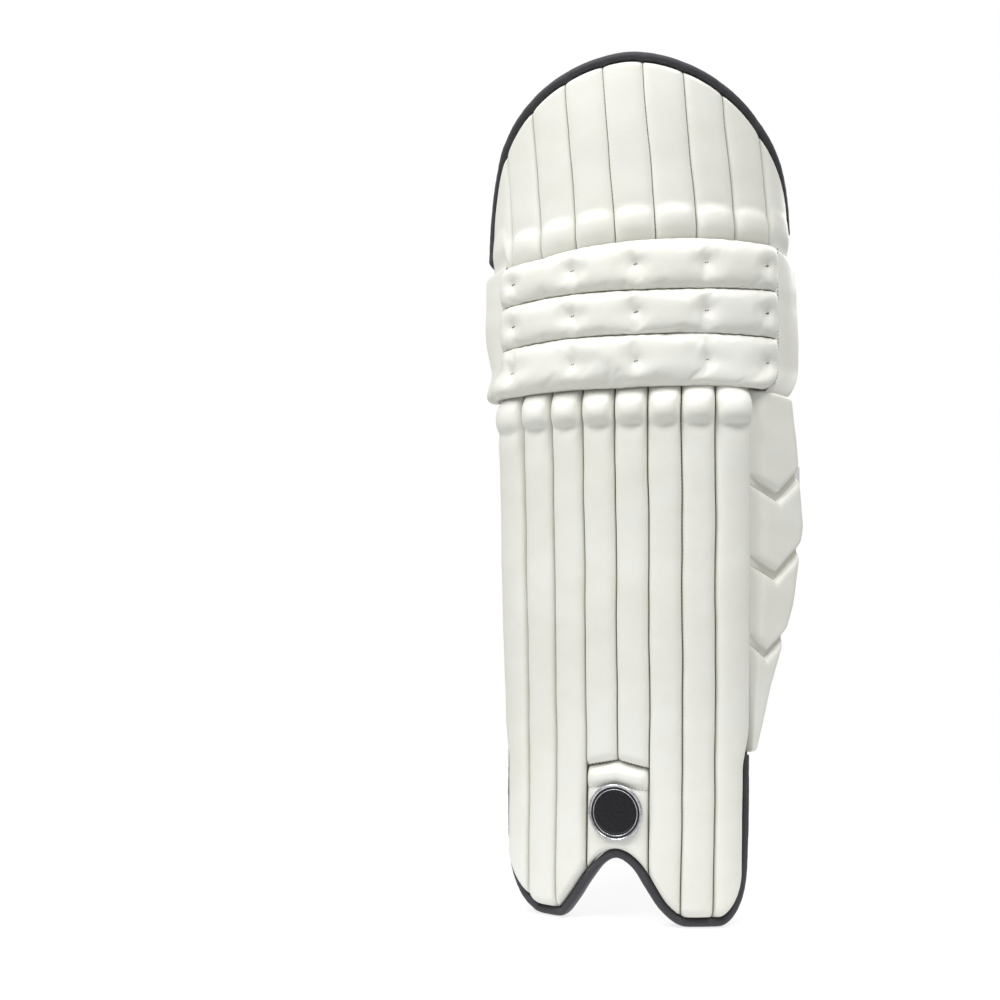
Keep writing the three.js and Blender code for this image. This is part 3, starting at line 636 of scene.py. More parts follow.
# Instep patch: one leather panel over the notch of the foot. A padded welt runs along its pointed top, and
# below the welt a sewn line holds the panel down flatter.
PATCH_DEPTH = 11.5
WELT_HEIGHT = 18
WELT_RISE = 2.6
WELT_GROOVE = 1.6
PATCH_STITCH_REACH = 23
PATCH_STITCH_SINK = 1.5
PATCH_EDGE_OUT = 8.2


def patch_rise(side):
    return (1 - np.abs(side) ** 6) ** 0.5


side = edge_to_edge(41)[None, :]
across = side * (PATCH_HALF_WIDTH - SEAM_GAP)
low = beside_binding(foot_edge, across, 1)
high = patch_top(across) - SEAM_GAP
height = mix(low, high, stations(84, 1.4)[:, None])
from_top = high - height
welt = smooth(0, WELT_HEIGHT / 2, from_top) * smooth(WELT_HEIGHT, WELT_HEIGHT * 0.62, from_top)
groove = np.exp(-(((from_top - WELT_HEIGHT) / 2.2) ** 2))
ends = rounded_end(height - low, 8) * rounded_end(from_top, 9)
rise = patch_rise(side)
out = LAYER_GAP + ends * rise * (PATCH_DEPTH + WELT_RISE * welt - WELT_GROOVE * groove)
# Painted shade, with some dirt, darkens the patch's sides and ends.
marks = {"shade_and_dirt": np.maximum(smooth(0.6, 0.1, rise), 0.8 * smooth(0.45, 0, ends))}
lay_piece("instep_patch_cover", ["instep_patch"], pad_point, (across, height), out, LAYER_GAP, marks)

across = np.linspace(-PATCH_STITCH_REACH, PATCH_STITCH_REACH, 40)
welt_out = LAYER_GAP + (PATCH_DEPTH - PATCH_STITCH_SINK) * patch_rise(across / PATCH_HALF_WIDTH)
welt_line = pad_point(across, patch_top(across) - WELT_HEIGHT, welt_out)
edge_line = pad_point(across, patch_top(across) + 1.2, LAYER_GAP + PATCH_EDGE_OUT)
sew("instep_patch_stitches", [welt_line, edge_line], dark_thread, 2.9, 2.0, 0.6)

# Badge: a moulded oval on the instep patch, black under a low dome, with a bright rim round its edge and a
# thin bright line inside the rim.
BADGE_HEIGHT = 93
BADGE_HALF_WIDTH = 21
BADGE_HALF_HEIGHT = 23
BADGE_SEAT = LAYER_GAP + PATCH_DEPTH + 0.4
BADGE_DEPTH = 2.6
BADGE_PLATE = 0.97
BADGE_SKIRT = 1.2
BADGE_BACK = 0.8
BADGE_BACK_BEND = 1.6
BADGE_RINGS = (
    # name, share of the outline, radius of the bead
    ("front_badge_rim", 0.96, 1.35),
    ("front_badge_line", 0.82, 0.45),
)


def loop_mesh(name, rings, closed=True, flat=None):
    """A skin through rings of points: the last ring joins the first, or else both ends are capped."""
    count, around = rings.shape[:2]
    index = np.arange(count * around).reshape(count, around)
    grid = np.vstack([index, index[:1]]) if closed else index
    faces = quads(np.hstack([grid, grid[:, :1]])).tolist()
    if not closed:
        faces += [index[0][::-1].tolist(), index[-1].tolist()]
    mesh = bpy.data.meshes.new(name)
    mesh.from_pydata(rings.reshape(-1, 3).tolist(), [], faces)
    if flat is not None:
        lay_flat(mesh, flat)
    shape = bmesh.new()
    shape.from_mesh(mesh)
    bmesh.ops.recalc_face_normals(shape, faces=shape.faces)
    shape.to_mesh(mesh)
    shape.free()
    mesh.polygons.foreach_set("use_smooth", np.ones(len(mesh.polygons), bool))
    return mesh


def badge_black():
    material, place, surface = new_finish("badge_black", 0.16)
    flakes = place.noise(900, 3, 0.6).step(0.35, 0.75)
    set_socket(surface, "Base Color", flakes.tint((0.008, 0.008, 0.01), (0.022, 0.022, 0.026)))
    set_socket(surface, "Roughness", place.noise(400, 3) * 0.1 + 0.1)
    surface.inputs["Specular IOR Level"].default_value = 0.3
    surface.inputs["Coat Weight"].default_value = 0.25
    surface.inputs["Coat Roughness"].default_value = 0.05
    return material


def bright_metal():
    material, place, surface = new_finish("badge_silver", 0.25)
    rubbed = place.noise(250, 3)
    set_socket(surface, "Base Color", rubbed.step(0.3, 0.7).tint((0.5, 0.51, 0.53), (0.68, 0.69, 0.7)))
    set_socket(surface, "Roughness", rubbed * 0.2 + 0.18)
    surface.inputs["Metallic"].default_value = 0.9
    return material


def oval_ring(name, scale, thick):
    """A round bead that follows the badge's outline."""
    turn = np.linspace(0, 2 * np.pi, 97)[:-1][:, None]
    around = np.linspace(0, 2 * np.pi, 13)[:-1][None, :]
    wide = BADGE_HALF_WIDTH * scale + thick * np.cos(around)
    tall = BADGE_HALF_HEIGHT * scale + thick * np.cos(around)
    return loop_mesh(name, pad_point(
        wide * np.cos(turn),
        BADGE_HEIGHT + tall * np.sin(turn),
        BADGE_SEAT + BADGE_DEPTH * 0.8 + thick * np.sin(around),
    ))


a = np.linspace(-1, 1, 41)[None, :]
b = np.linspace(-1, 1, 41)[:, None]
across = BADGE_PLATE * BADGE_HALF_WIDTH * a * np.sqrt(1 - b**2 / 2)
height = BADGE_HEIGHT + BADGE_PLATE * BADGE_HALF_HEIGHT * b * np.sqrt(1 - a**2 / 2)
out_along = across / BADGE_HALF_WIDTH
out_up = (height - BADGE_HEIGHT) / BADGE_HALF_HEIGHT
from_rim = 1 - np.clip(out_along**2 + out_up**2, 0, 1)
dome = BADGE_DEPTH * np.minimum(1, 0.75 + 0.5 * from_rim) * smooth(0.06, 0.075, from_rim)
front = BADGE_SEAT + (dome - BADGE_SKIRT * smooth(0.066, 0.06, from_rim))
back = BADGE_SEAT - BADGE_BACK - BADGE_BACK_BEND * out_along**4
black = badge_black()
grid = (across, height)
lay_piece("front_badge_plate", ["front_badge"], pad_point, grid, front, back, {}, black)
badge_silver = bright_metal()
for name, scale, thick in BADGE_RINGS:
    add_piece(name, oval_ring(name, scale, thick), badge_silver)

# Thigh flap: nine ribs above the knee, made as the shin's are but flatter. Their lower ends swell where
# they tuck under the knee roll and its sides, and their upper ends are caught under the bound edge.
TOP_RIB_COUNT = 9
TOP_RIB_WIDTH = 33.5
TOP_RIB_DEPTH = 10.5
TOP_HEAD_LENGTH = 27
TOP_SEAM_HEIGHT = 0.5
TOP_HEAD_SWELL = 2.7
EDGE_HEAD_SHARE = 0.35
FLAP_DIP_AT_ROLL = 0.3
FLAP_THINNING = 0.3
FLAP_INNER_REACH = 156
FLAP_OUTER_REACH = 147
FLAP_BASE = 530
FLAP_RISE = 182
FLAP_TURN = (0.12, np.pi - 0.05)
FLAP_SIDE_POWER = 1.7
FLAP_TOP_POWER = 2.6
FLAP_MIDDLE = 640
FLAP_LEAN_FROM = 560
FLAP_LEAN_OVER = 150
SIDE_TUCK = 7
KNEE_SIDES = (
    # node, side, lower and upper reach, top, fall of the top
    ("knee_side_inner", -1, 137, 158, 551, 9),
    ("knee_side_outer", 1, 148, 153, 559, 15),
)
FLAP_INNER_LIMIT = -FLAP_INNER_REACH + BINDING_DEPTH + 2 * BINDING_GAP
FLAP_OUTER_LIMIT = FLAP_OUTER_REACH - BINDING_DEPTH - 2 * BINDING_GAP

turn = np.linspace(*FLAP_TURN, 25)
flap_reach = np.where(np.cos(turn) < 0, -FLAP_INNER_REACH, FLAP_OUTER_REACH)
flap_edge = smooth_curve(np.stack([
    flap_reach * np.abs(np.cos(turn)) ** (2 / FLAP_SIDE_POWER),
    FLAP_BASE + FLAP_RISE * np.sin(turn) ** (2 / FLAP_TOP_POWER),
], -1), EDGE_POINTS)


def top_seam(number, height):
    """Where a seam of the flap runs: the seams lean a little inwards as they rise, the outer ones most."""
    place = (number - TOP_RIB_COUNT / 2) * TOP_RIB_WIDTH
    if 0 < number < TOP_RIB_COUNT:
        share = np.clip((height - FLAP_LEAN_FROM) / FLAP_LEAN_OVER, 0, 1)
        lean_low = 6 - 1.5 * number
        lean_high = -2.2 - 0.21 * number**2
        place = place + mix(lean_low, lean_high, share) + SEAM_WANDER * uneven(height, 110, 40 + number)
    return np.clip(place, FLAP_INNER_LIMIT, FLAP_OUTER_LIMIT)


def roll_end(side):
    """How far the knee roll reaches at the inner side, -1, or at the outer side, 1."""
    return abs(ROLL_ENDS[(side + 1) // 2])


def side_top(row, across):
    """The height of a knee side's top edge, which falls towards the back of the leg."""
    node, side, low_reach, high_reach, top, fall = row
    start = roll_end(side)
    return top - fall * np.clip((np.abs(across) - start) / (high_reach - start), 0, 1)


def under_binding(share, number):
    """The height at which a rib meets the bound edge, at shares of its width."""
    height = FLAP_MIDDLE + 0 * share
    for _ in range(8):
        across = mix(top_seam(number - 1, height), top_seam(number, height), share)
        height = beside_binding(flap_edge, across, -1)
    return height


top_lines = []
flap_seams = []
for number in range(1, TOP_RIB_COUNT + 1):
    node = f"top_rib_{number}"
    side = edge_to_edge(31)[None, :]
    share = (side + 1) / 2
    nominal = mix(top_seam(number - 1, FLAP_LEAN_FROM), top_seam(number, FLAP_LEAN_FROM), share)
    low = roll_seam(3, nominal) - HEAD_TUCK
    beside = {1: KNEE_SIDES[0], TOP_RIB_COUNT: KNEE_SIDES[1]}.get(number)
    if beside:
        end = roll_end(beside[1])
        past_roll = smooth(end - 2, end + 2, np.abs(nominal))
        low = mix(low, side_top(beside, nominal) - SIDE_TUCK, past_roll)
    high = under_binding(share, number)
    height = mix(low, high, stations(150, 2.0)[:, None])
    across = mix(top_seam(number - 1, height) + SEAM_GAP, top_seam(number, height) - SEAM_GAP, share)
    ends = rounded_end(height - low, 8) * rounded_end(high - height, 5)
    thinner = 1 - FLAP_THINNING * smooth(0, 1, (height - low) / (high - low))
    rise = rib_rise(side, TOP_SEAM_HEIGHT) * (1 + 0.03 * uneven(height, 80, 60 + number)) * thinner
    from_roll = height - low - HEAD_TUCK
    rise = rise * (1 - FLAP_DIP_AT_ROLL * smooth(*DIP_LENGTH, from_roll))
    swell = TOP_HEAD_SWELL * (EDGE_HEAD_SHARE if beside else 1) * rib_head(from_roll, side, TOP_HEAD_LENGTH)
    out = LAYER_GAP + ends * (TOP_RIB_DEPTH * rise + swell)
    # Painted shade, with some dirt, darkens the ribs' seams and their rounded ends.
    seam_shade = 0.7 * smooth(0.66, TOP_SEAM_HEIGHT, rib_rise(side, TOP_SEAM_HEIGHT))
    marks = {"shade_and_dirt": np.maximum(seam_shade, 0.4 * smooth(0.5, 0, ends))}
    lay_piece(f"{node}_cover", [node], pad_point, (across, height), out, LAYER_GAP, marks)
    if number < TOP_RIB_COUNT:
        seam_high = float(high[0, -1])
        flap_seams.append(float(top_seam(number, seam_high)))
        seam_low = float(roll_seam(3, nominal[0, -1])) + STITCHES_FROM_ROLL
        height = np.arange(seam_low, seam_high - 3, 4.0)
        thinner = 1 - FLAP_THINNING * smooth(0, 1, (height - height[0]) / (height[-1] - height[0]))
        seam_out = LAYER_GAP + TOP_SEAM_HEIGHT * TOP_RIB_DEPTH * thinner
        top_lines.append(pad_point(top_seam(number, height), height, seam_out + 0.1))
sew("flap_seam_thread", top_lines, dark_thread, 3.4, 2.2, 0.7)

# Knee roll: three stuffed bolsters across the knee under one leather cover, sewn between them and at
# both ends, and pulled in at five tufts each. Their cover is blown up by a cloth simulation that holds
# the seams and the tufts.
ROLL_NAMES = ("knee_roll_lower", "knee_roll_middle", "knee_roll_upper")
ROLL_DEPTH = 20
ROLL_SEAT = 1.2
ROLL_SEAM_HEIGHT = 0.72
ROLL_END_HEIGHT = 0.5
ROLL_END_RIM = 0.3
ROLL_LOW_RIM = 0.51
ROLL_TOP_RIM = 0.43
ROLL_LOW_LIP = 10.2
ROLL_TOP_LIP = 8.6
ROLL_LIP_FADE = (HEAD_TUCK + 7, HEAD_TUCK + 1)
ROLL_PAST_HEADS = (113, 106)
ROLL_END_STITCH_OUT = 11.0
COVER_THICKNESS = 0.6
TUFTS = (-102, -48, 0, 52, 101)
TUFT_SPREAD = 5
TUFT_DEPTH = 0.26
TUFT_BLACK = (0.05, 0.05, 0.05)
ROLL_PINCHES = (-19, -14, 45, 50)
PINCH_DEPTH = 1.1


def blow_up(piece, held, pressure, growth, cap_mm, frames=20):
    """Lets the cloth of a closed piece swell between the points that are sewn down. held is a number for
    each point, 1 where it can't move, growth the share that the cover is cut too large by, and cap_mm the
    furthest that a point may move."""
    start = np.zeros(len(piece.data.vertices) * 3, np.float32)
    piece.data.vertices.foreach_get("co", start)
    sewn = piece.vertex_groups.new(name="sewn")
    for weight in np.unique(held):
        sewn.add(np.flatnonzero(held == weight).tolist(), float(weight), "REPLACE")
    cloth = piece.modifiers.new("cover", "CLOTH")
    cloth.settings.quality = 8
    cloth.settings.mass = 0.15
    cloth.settings.tension_stiffness = 12
    cloth.settings.compression_stiffness = 12
    cloth.settings.shear_stiffness = 6
    cloth.settings.bending_stiffness = 0.4
    cloth.settings.use_pressure = True
    cloth.settings.uniform_pressure_force = pressure
    cloth.settings.shrink_min = -growth
    cloth.settings.vertex_group_mass = sewn.name
    cloth.settings.effector_weights.gravity = 0
    cloth.collision_settings.use_collision = False
    cloth.point_cache.frame_start = 1
    cloth.point_cache.frame_end = frames
    for moment in range(1, frames + 1):
        scene.frame_set(moment)
    graph = bpy.context.evaluated_depsgraph_get()
    blown = np.zeros_like(start)
    piece.evaluated_get(graph).data.vertices.foreach_get("co", blown)
    piece.modifiers.remove(cloth)
    piece.vertex_groups.remove(sewn)
    scene.frame_set(1)
    moved = (blown - start).reshape(-1, 3)
    far = np.linalg.norm(moved, axis=1, keepdims=True)
    moved *= np.tanh(far / (cap_mm * MM)) * cap_mm * MM / np.maximum(far, 1e-9)
    piece.data.vertices.foreach_set("co", start + moved.ravel())
    piece.data.update()


def subdivide(piece):
    rounder = piece.modifiers.new("rounder", "SUBSURF")
    rounder.levels = rounder.render_levels = 1
    graph = bpy.context.evaluated_depsgraph_get()
    finer = piece.evaluated_get(graph)
    piece.data = bpy.data.meshes.new_from_object(finer, preserve_all_data_layers=True, depsgraph=graph)
    piece.modifiers.remove(rounder)


def rim_and_back(rows, columns):
    """1 for the points of a closed mesh's rim and back, which are sewn to the pad, and 0 for its face."""
    face = np.ones((rows, columns))
    face[1:-1, 1:-1] = 0
    return np.concatenate([face.ravel(), np.ones((rows - 2) * (columns - 2))])


def tuft_height(level, across):
    return (roll_seam(level, across) + roll_seam(level + 1, across)) / 2


roll_end_lines = []
tuft_lines = []
for level, node in enumerate(ROLL_NAMES):
    share = np.linspace(0, 1, 105)[None, :]
    up = stations(40, 2.2)[:, None]
    across = mix(*ROLL_ENDS, share - 0.03 * np.sin(2 * np.pi * share)) + 0 * up
    height = mix(roll_seam(level, across) - 0.1, roll_seam(level + 1, across) + 0.1, up)
    over_heads = smooth(*ROLL_PAST_HEADS, np.abs(across))
    sewn_low = mix(ROLL_END_RIM, ROLL_LOW_RIM, over_heads) if level == 0 else ROLL_SEAM_HEIGHT
    sewn_high = ROLL_TOP_RIM if level == 2 else ROLL_SEAM_HEIGHT
    arch = (1 - np.abs(2 * up - 1) ** 3.2) ** 0.5
    full = mix(np.where(up < 0.5, sewn_low, sewn_high), 1, arch)
    end = mix(ROLL_END_HEIGHT, 1, rounded_end(np.minimum(across - ROLL_ENDS[0], ROLL_ENDS[1] - across), 16))
    dimple = 0 * across
    for tuft in TUFTS:
        away = np.hypot(across - tuft, height - tuft_height(level, tuft))
        dimple = np.maximum(dimple, np.exp(-((away / TUFT_SPREAD) ** 1.3)))
    out = ROLL_SEAT + ROLL_DEPTH * full * end * (1 - TUFT_DEPTH * dimple)
    back = ROLL_SEAT + 0 * out
    if level == 0:
        from_edge = height - roll_seam(0, across)
        for pinch in ROLL_PINCHES:
            line = np.exp(-(((across - pinch - 0.3 * from_edge) / 1.7) ** 2))
            out = out - PINCH_DEPTH * line * smooth(17, 2, from_edge)
        back = back + over_heads * ROLL_LOW_LIP * smooth(*ROLL_LIP_FADE, from_edge)
    if level == 2:
        back = back + ROLL_TOP_LIP * smooth(*ROLL_LIP_FADE, roll_seam(3, across) - height)
    back = np.minimum(back, out - COVER_THICKNESS)
    # Painted shade, with some dirt, darkens the seams between the rolls and the tufts' dimples.
    marks = {"shade_and_dirt": np.maximum(0.9 * smooth(0.35, 0.02, arch), 0.5 * smooth(0.85, 1, dimple))}
    roll = lay_piece(f"{node}_cover", [node], pad_point, (across, height), out, back, marks)
    held = rim_and_back(*across.shape)
    held[:across.size] = np.maximum(held[:across.size], (dimple.ravel() > 0.8) * 1.0)
    blow_up(roll, held, 1.6, 0.015, 3)
    subdivide(roll)
    for end, side in zip(ROLL_ENDS, (-1, 1)):
        end_low = roll_seam(level, end) + (6 if level == 0 else 1)
        end_height = np.linspace(end_low, roll_seam(level + 1, end) - 2, 12)
        roll_end_lines.append(pad_point(end + 2.0 * side, end_height, ROLL_END_STITCH_OUT))
    tick = np.array([-1, 1])
    tuft_out = ROLL_SEAT + ROLL_DEPTH * (1 - TUFT_DEPTH) + 1.2
    for tuft in TUFTS:
        tuft_lines.append(pad_point(tuft + tick, tuft_height(level, tuft) + 0.3 * tick, tuft_out))
sew("knee_roll_end_stitches", roll_end_lines, dark_thread, 3.0, 2.0, 0.6)
tuft_thread = thread_finish("tuft_thread", TUFT_BLACK)
sew("knee_roll_tufts", tuft_lines, tuft_thread, 2.0, 2.4, 1.5)

# Knee sides: smooth leather flaps with thin padding that close the ends of the rolls and turn towards the
# back of the leg, sewn to the rolls by one upright line. Their tops lap over the thigh flap's edge ribs.
KNEE_SIDE_LOW = 434
KNEE_SIDE_EDGE = 0.9
KNEE_SIDE_TOP_RIM = 0.86
KNEE_SIDE_LIP = 8.3
KNEE_SIDE_DEPTH = 10.5
KNEE_SIDE_BACK = 6
KNEE_SIDE_BULGE = 1.6
KNEE_SIDE_HEIGHT = 110
KNEE_SIDE_WIDTH = 36

for row in KNEE_SIDES:
    node, side, low_reach, high_reach = row[:4]
    u = stations(40, 1.3)[None, :]
    v = stations(KNEE_SIDE_HEIGHT, 2.4)[:, None]
    reach = mix(low_reach, high_reach, smooth(0, 0.55, v))
    across = side * mix(roll_end(side) + SEAM_GAP, reach, u)
    height = mix(KNEE_SIDE_LOW, side_top(row, across), v)
    from_top = side_top(row, across) - height
    ends = rounded_end(v * KNEE_SIDE_HEIGHT, 8) * mix(KNEE_SIDE_TOP_RIM, 1, rounded_end(from_top, 8))
    by_roll = rounded_end(u * KNEE_SIDE_WIDTH, 5)
    rise = mix(KNEE_SIDE_EDGE, 1, by_roll) * rounded_end((1 - u) * KNEE_SIDE_WIDTH, 7) * ends
    bulge = KNEE_SIDE_BULGE * np.sin(np.pi * u) * np.sin(np.pi * v)
    bulge = bulge + 0.5 * uneven(height, 60, 80 + side) * rise
    out = KNEE_SIDE_DEPTH * rise + bulge * rise
    back = mix(-KNEE_SIDE_BACK * rise, KNEE_SIDE_LIP, smooth(SIDE_TUCK + 6, SIDE_TUCK, from_top))
    back = np.minimum(back, out - COVER_THICKNESS)
    # Painted shade, with some dirt, darkens the side where it is sewn to the roll.
    marks = {"shade_and_dirt": smooth(0.7, 0.1, by_roll) * 0.5}
    lay_piece(f"{node}_cover", [node], pad_point, (across, height), out, back, marks)

# Outer wing: a quilted leather flap that shields the side of the calf. Three chevron channels are sewn
# through its padding, each with two lines of stitches, and its face folds softly near the shin.
OUTER_WING_HEADING = 42
INNER_WING_HEADING = 78
WING_GAP = 1.5
WING_SEAT = -4
OUTER_WING_MIDDLE = 6.5
OUTER_WING_ROOT = -1.2
OUTER_WING_REACH = np.array([
    # height, reach
    (141, 7), (160, 12), (198, 22), (234, 34), (262, 43),
    (306, 50), (328, 53), (366, 50), (400, 47), (443, 41),
], float)
OUTER_WING_NODES = [f"outer_wing_panel_{number}" for number in range(1, 5)]
CHEVRONS = np.array([
    # root, valley, tip
    (141, 141, 141),
    (236, 222, 238),
    (301, 287, 310),
    (368, 352, 371),
    (442, 439, 435),
], float)
VALLEY_SHARE = 0.55
CHEVRON_SLANT = 0.86
CHANNEL_HALF_WIDTH = 3.2
CHANNEL_STITCH_OUT = 2.7
WING_FOLD = 0.3
WING_SKIN = 2.2
WING_FACE = 6.2
WING_INSIDE_PAD = 3.8
LIGHT_THREAD = (0.5, 0.49, 0.45)


def wing_point(side, reach, height, out):
    """Points of a wing: side is 1 for the outer and -1 for the inner one, and reach runs from the shin.
    A reach below 0 lies along the shin's own layer, at the edge of the last rib."""
    heading = math.radians(OUTER_WING_HEADING if side > 0 else INNER_WING_HEADING)
    reach, height, out = np.broadcast_arrays(*(np.asarray(x, float) for x in (reach, height, out)))
    points = shin_point(side * (SHIN_EDGE + WING_GAP + np.minimum(reach, 0)), height, WING_SEAT)
    reach = np.maximum(reach, 0)
    points[..., 0] += side * MM * (reach * math.cos(heading) + out * math.sin(heading))
    points[..., 1] += MM * (reach * math.sin(heading) - out * math.cos(heading))
    return points


def chevron(seam, u):
    return np.interp(u, (0, VALLEY_SHARE, 1), seam)


def outer_wing_width(height):
    return np.interp(height, OUTER_WING_REACH[:, 0], OUTER_WING_REACH[:, 1])


u = np.concatenate([
    VALLEY_SHARE * (1 - np.cos(np.linspace(0, np.pi / 2, 20))),
    mix(VALLEY_SHARE, 1, np.sin(np.linspace(0, np.pi / 2, 18)))[1:],
])[None, :]
runs = []
for lower, upper in zip(CHEVRONS[:-1], CHEVRONS[1:]):
    runs.append(mix(chevron(lower, u), chevron(upper, u), stations(72, 1.8)[:-1, None]))
height = np.vstack([*runs, chevron(CHEVRONS[-1], u)])
from_seam = np.min([np.abs(height - chevron(seam, u)) for seam in CHEVRONS[1:-1]], axis=0) * CHEVRON_SLANT
from_low = height - chevron(CHEVRONS[0], u)
from_high = chevron(CHEVRONS[-1], u) - height
pinch = 1 - 0.035 * np.exp(-((from_seam / 5) ** 2))
wide = outer_wing_width(height)
reach = mix(OUTER_WING_ROOT, pinch * wide, u)
root = rounded_end(u * wide, 2.5)
rim = root * rounded_end((1 - u) * wide, 6) * rounded_end(from_low, 6) * rounded_end(from_high, 5)
channel = rounded_end(np.maximum(from_seam - CHANNEL_HALF_WIDTH, 0), 7)
ramp = mix(0.05, 1, smooth(-0.1, 1.05, u / WING_FOLD))
soft = 1 + 0.05 * uneven(height, 55, 91)
face = OUTER_WING_MIDDLE + rim * (WING_SKIN + WING_FACE * channel * ramp * soft)
inside = OUTER_WING_MIDDLE - rim * (WING_SKIN + WING_INSIDE_PAD * channel + 0.5 * uneven(reach, 17, 92))
in_channel = from_seam < CHANNEL_HALF_WIDTH + 0.4
# Painted shade, with some dirt, darkens the wing's root and its sewn channels.
marks = {"shade_and_dirt": np.maximum(0.55 * smooth(0.6, 0.1, root), 0.25 * in_channel)}
outer_point = functools.partial(wing_point, 1)
lay_piece("outer_wing_cover", OUTER_WING_NODES, outer_point, (reach, height), face, inside, marks)

chevron_lines = []
u = np.concatenate([np.linspace(0.06, VALLEY_SHARE, 16), np.linspace(VALLEY_SHARE, 0.95, 14)[1:]])
for seam in CHEVRONS[1:-1]:
    for side in (-1, 1):
        height = chevron(seam, u) + side * CHANNEL_HALF_WIDTH / CHEVRON_SLANT
        reach = u * outer_wing_width(height)
        chevron_lines.append(wing_point(1, reach, height, OUTER_WING_MIDDLE + CHANNEL_STITCH_OUT))
grey_thread = thread_finish("grey_thread", LIGHT_THREAD)
sew("outer_wing_stitches", chevron_lines, grey_thread, 3.0, 2.1, 0.75)

# Inner wing: the plain flap at the inside of the leg, thinner, creased across by one seam where it bends.
# Like the outer wing it is sewn to the edge of the last rib.
INNER_WING_REACH = np.array([
    # height, reach
    (182, 36), (220, 46), (265, 52), (320, 48), (380, 42), (432, 36),
], float)
INNER_WING_NODES = ["inner_wing_lower", "inner_wing_upper"]
INNER_WING_LOW = 182
INNER_WING_SEAM = 264
INNER_WING_HIGH = 434
INNER_WING_ROOT = -5
INNER_WING_MIDDLE = 4.5
INNER_WING_PAD = 4.4

u = stations(50, 1.5)[None, :]
height = np.concatenate([
    mix(INNER_WING_LOW, INNER_WING_SEAM, stations(82, 2.0)[:-1]),
    mix(INNER_WING_SEAM, INNER_WING_HIGH, stations(162, 2.4)),
])[:, None]
wide = np.interp(height, INNER_WING_REACH[:, 0], INNER_WING_REACH[:, 1])
reach = mix(INNER_WING_ROOT, wide, u)
corners = rounded_end(height - INNER_WING_LOW, 7) * rounded_end(INNER_WING_HIGH - height, 7)
root = rounded_end(reach - INNER_WING_ROOT, 4)
rim = root * rounded_end(wide - reach, 6) * corners
seam = np.exp(-(((height - INNER_WING_SEAM) / 4) ** 2))
seam_line = np.exp(-(((height - INNER_WING_SEAM) / 1.2) ** 2))
folds = 0.7 * uneven(reach + 0.05 * height, 19, 95) * smooth(0, 60, INNER_WING_HIGH - height)
face = INNER_WING_MIDDLE + rim * (INNER_WING_PAD - 2.2 * seam)
inside = INNER_WING_MIDDLE - rim * (INNER_WING_PAD - 2.6 * seam + folds)
# Painted shade, with some dirt, darkens the wing's root and its seam.
marks = {"shade_and_dirt": 0.45 * smooth(0.6, 0.1, root) + 0.3 * seam_line}
inner_point = functools.partial(wing_point, -1)
lay_piece("inner_wing_cover", INNER_WING_NODES, inner_point, (reach, height), face, inside, marks)

# Bound edges: a dark woven strip folded over the sewn edge of the flap and of the foot, drawn a little
# tight at each rib seam, with one line of white stitches that shows on the back.
BINDING_HALF = 3.7
BINDING_OUT = 8.2
BINDING_ROUND = 2.6
BINDING_TAPE_TURN = 6.5
BINDING_STITCH_DEPTH = 5.6
BINDING_TUCK_LENGTH = 11
BINDING_TUCK_DEPTH = 5
BINDING_TUCK_THINNING = 0.45
CHARCOAL = (0.03, 0.03, 0.036)
THREAD_WHITE = (0.8, 0.8, 0.78)


def woven_strip(name, color):
    """Close ribbed tape: fine cross ribs along its length, and a thin dusting of wear."""
    material, place, surface = new_finish(name, 0.62)
    flat = place.flat()
    ribs = flat.wave("X", 330, 0.6, 1.0)
    weft = flat.wave("Y", 330, 0.4)
    dust = place.noise(70, 4, 0.6)
    lighter = tuple(c * 1.9 + 0.008 for c in color)
    set_socket(surface, "Base Color", (ribs * weft * 0.6 + dust * 0.5).step(0.2, 0.85).tint(color, lighter))
    set_socket(surface, "Roughness", dust * 0.2 + 0.52)
    surface.inputs["Sheen Weight"].default_value = 0.15
    set_bump(surface, ribs * 0.6 + weft * 0.4, 0.16)
    return material


def edge_point(edge, depth, out):
    """Points of a bound edge: depth runs from the edge into the pad."""
    along = np.gradient(edge, axis=0)
    along /= np.linalg.norm(along, axis=1, keepdims=True)
    across = edge[:, :1] - along[:, 1:] * depth
    return pad_point(across, np.maximum(edge[:, 1:], 0) + along[:, :1] * depth, out)


def squarish(wave):
    """A sine or cosine for going round a flattened tape instead of a circle."""
    return np.sign(wave) * np.abs(wave) ** (2 / BINDING_ROUND)


def binding_mesh(name, edge, seams, seed, tuck):
    """The folded tape along an edge. tuck is 1 where its two ends go in under the knee sides, or else 0."""
    turn = np.linspace(0, 2 * np.pi, 33)[:-1][None, :]
    walked = walked_length(edge)[:, None]
    tight = np.max([np.exp(-(((edge[:, :1] - seam) / 3.5) ** 2)) for seam in seams], axis=0)
    puckers = 0.22 * uneven(walked, 9, seed) + 0.25 * uneven(walked, 31, seed + 1)
    inner = np.maximum(0, -np.cos(turn)) ** 0.6
    depth = BINDING_HALF - BINDING_HALF * squarish(np.cos(turn)) + inner * (0.9 * tight + puckers)
    out = (BINDING_OUT + 0.5 * puckers - 0.5 * tight) * squarish(np.sin(turn))
    from_end = np.minimum(walked, walked[-1] - walked)
    tucked = tuck * (1 - smooth(0, BINDING_TUCK_LENGTH, from_end))
    out = out * (1 - BINDING_TUCK_THINNING * tucked) - BINDING_TUCK_DEPTH * tucked
    flat = np.stack(np.broadcast_arrays(walked * MM, turn * BINDING_TAPE_TURN * MM), -1)
    return loop_mesh(name, edge_point(edge, depth, out), False, flat)


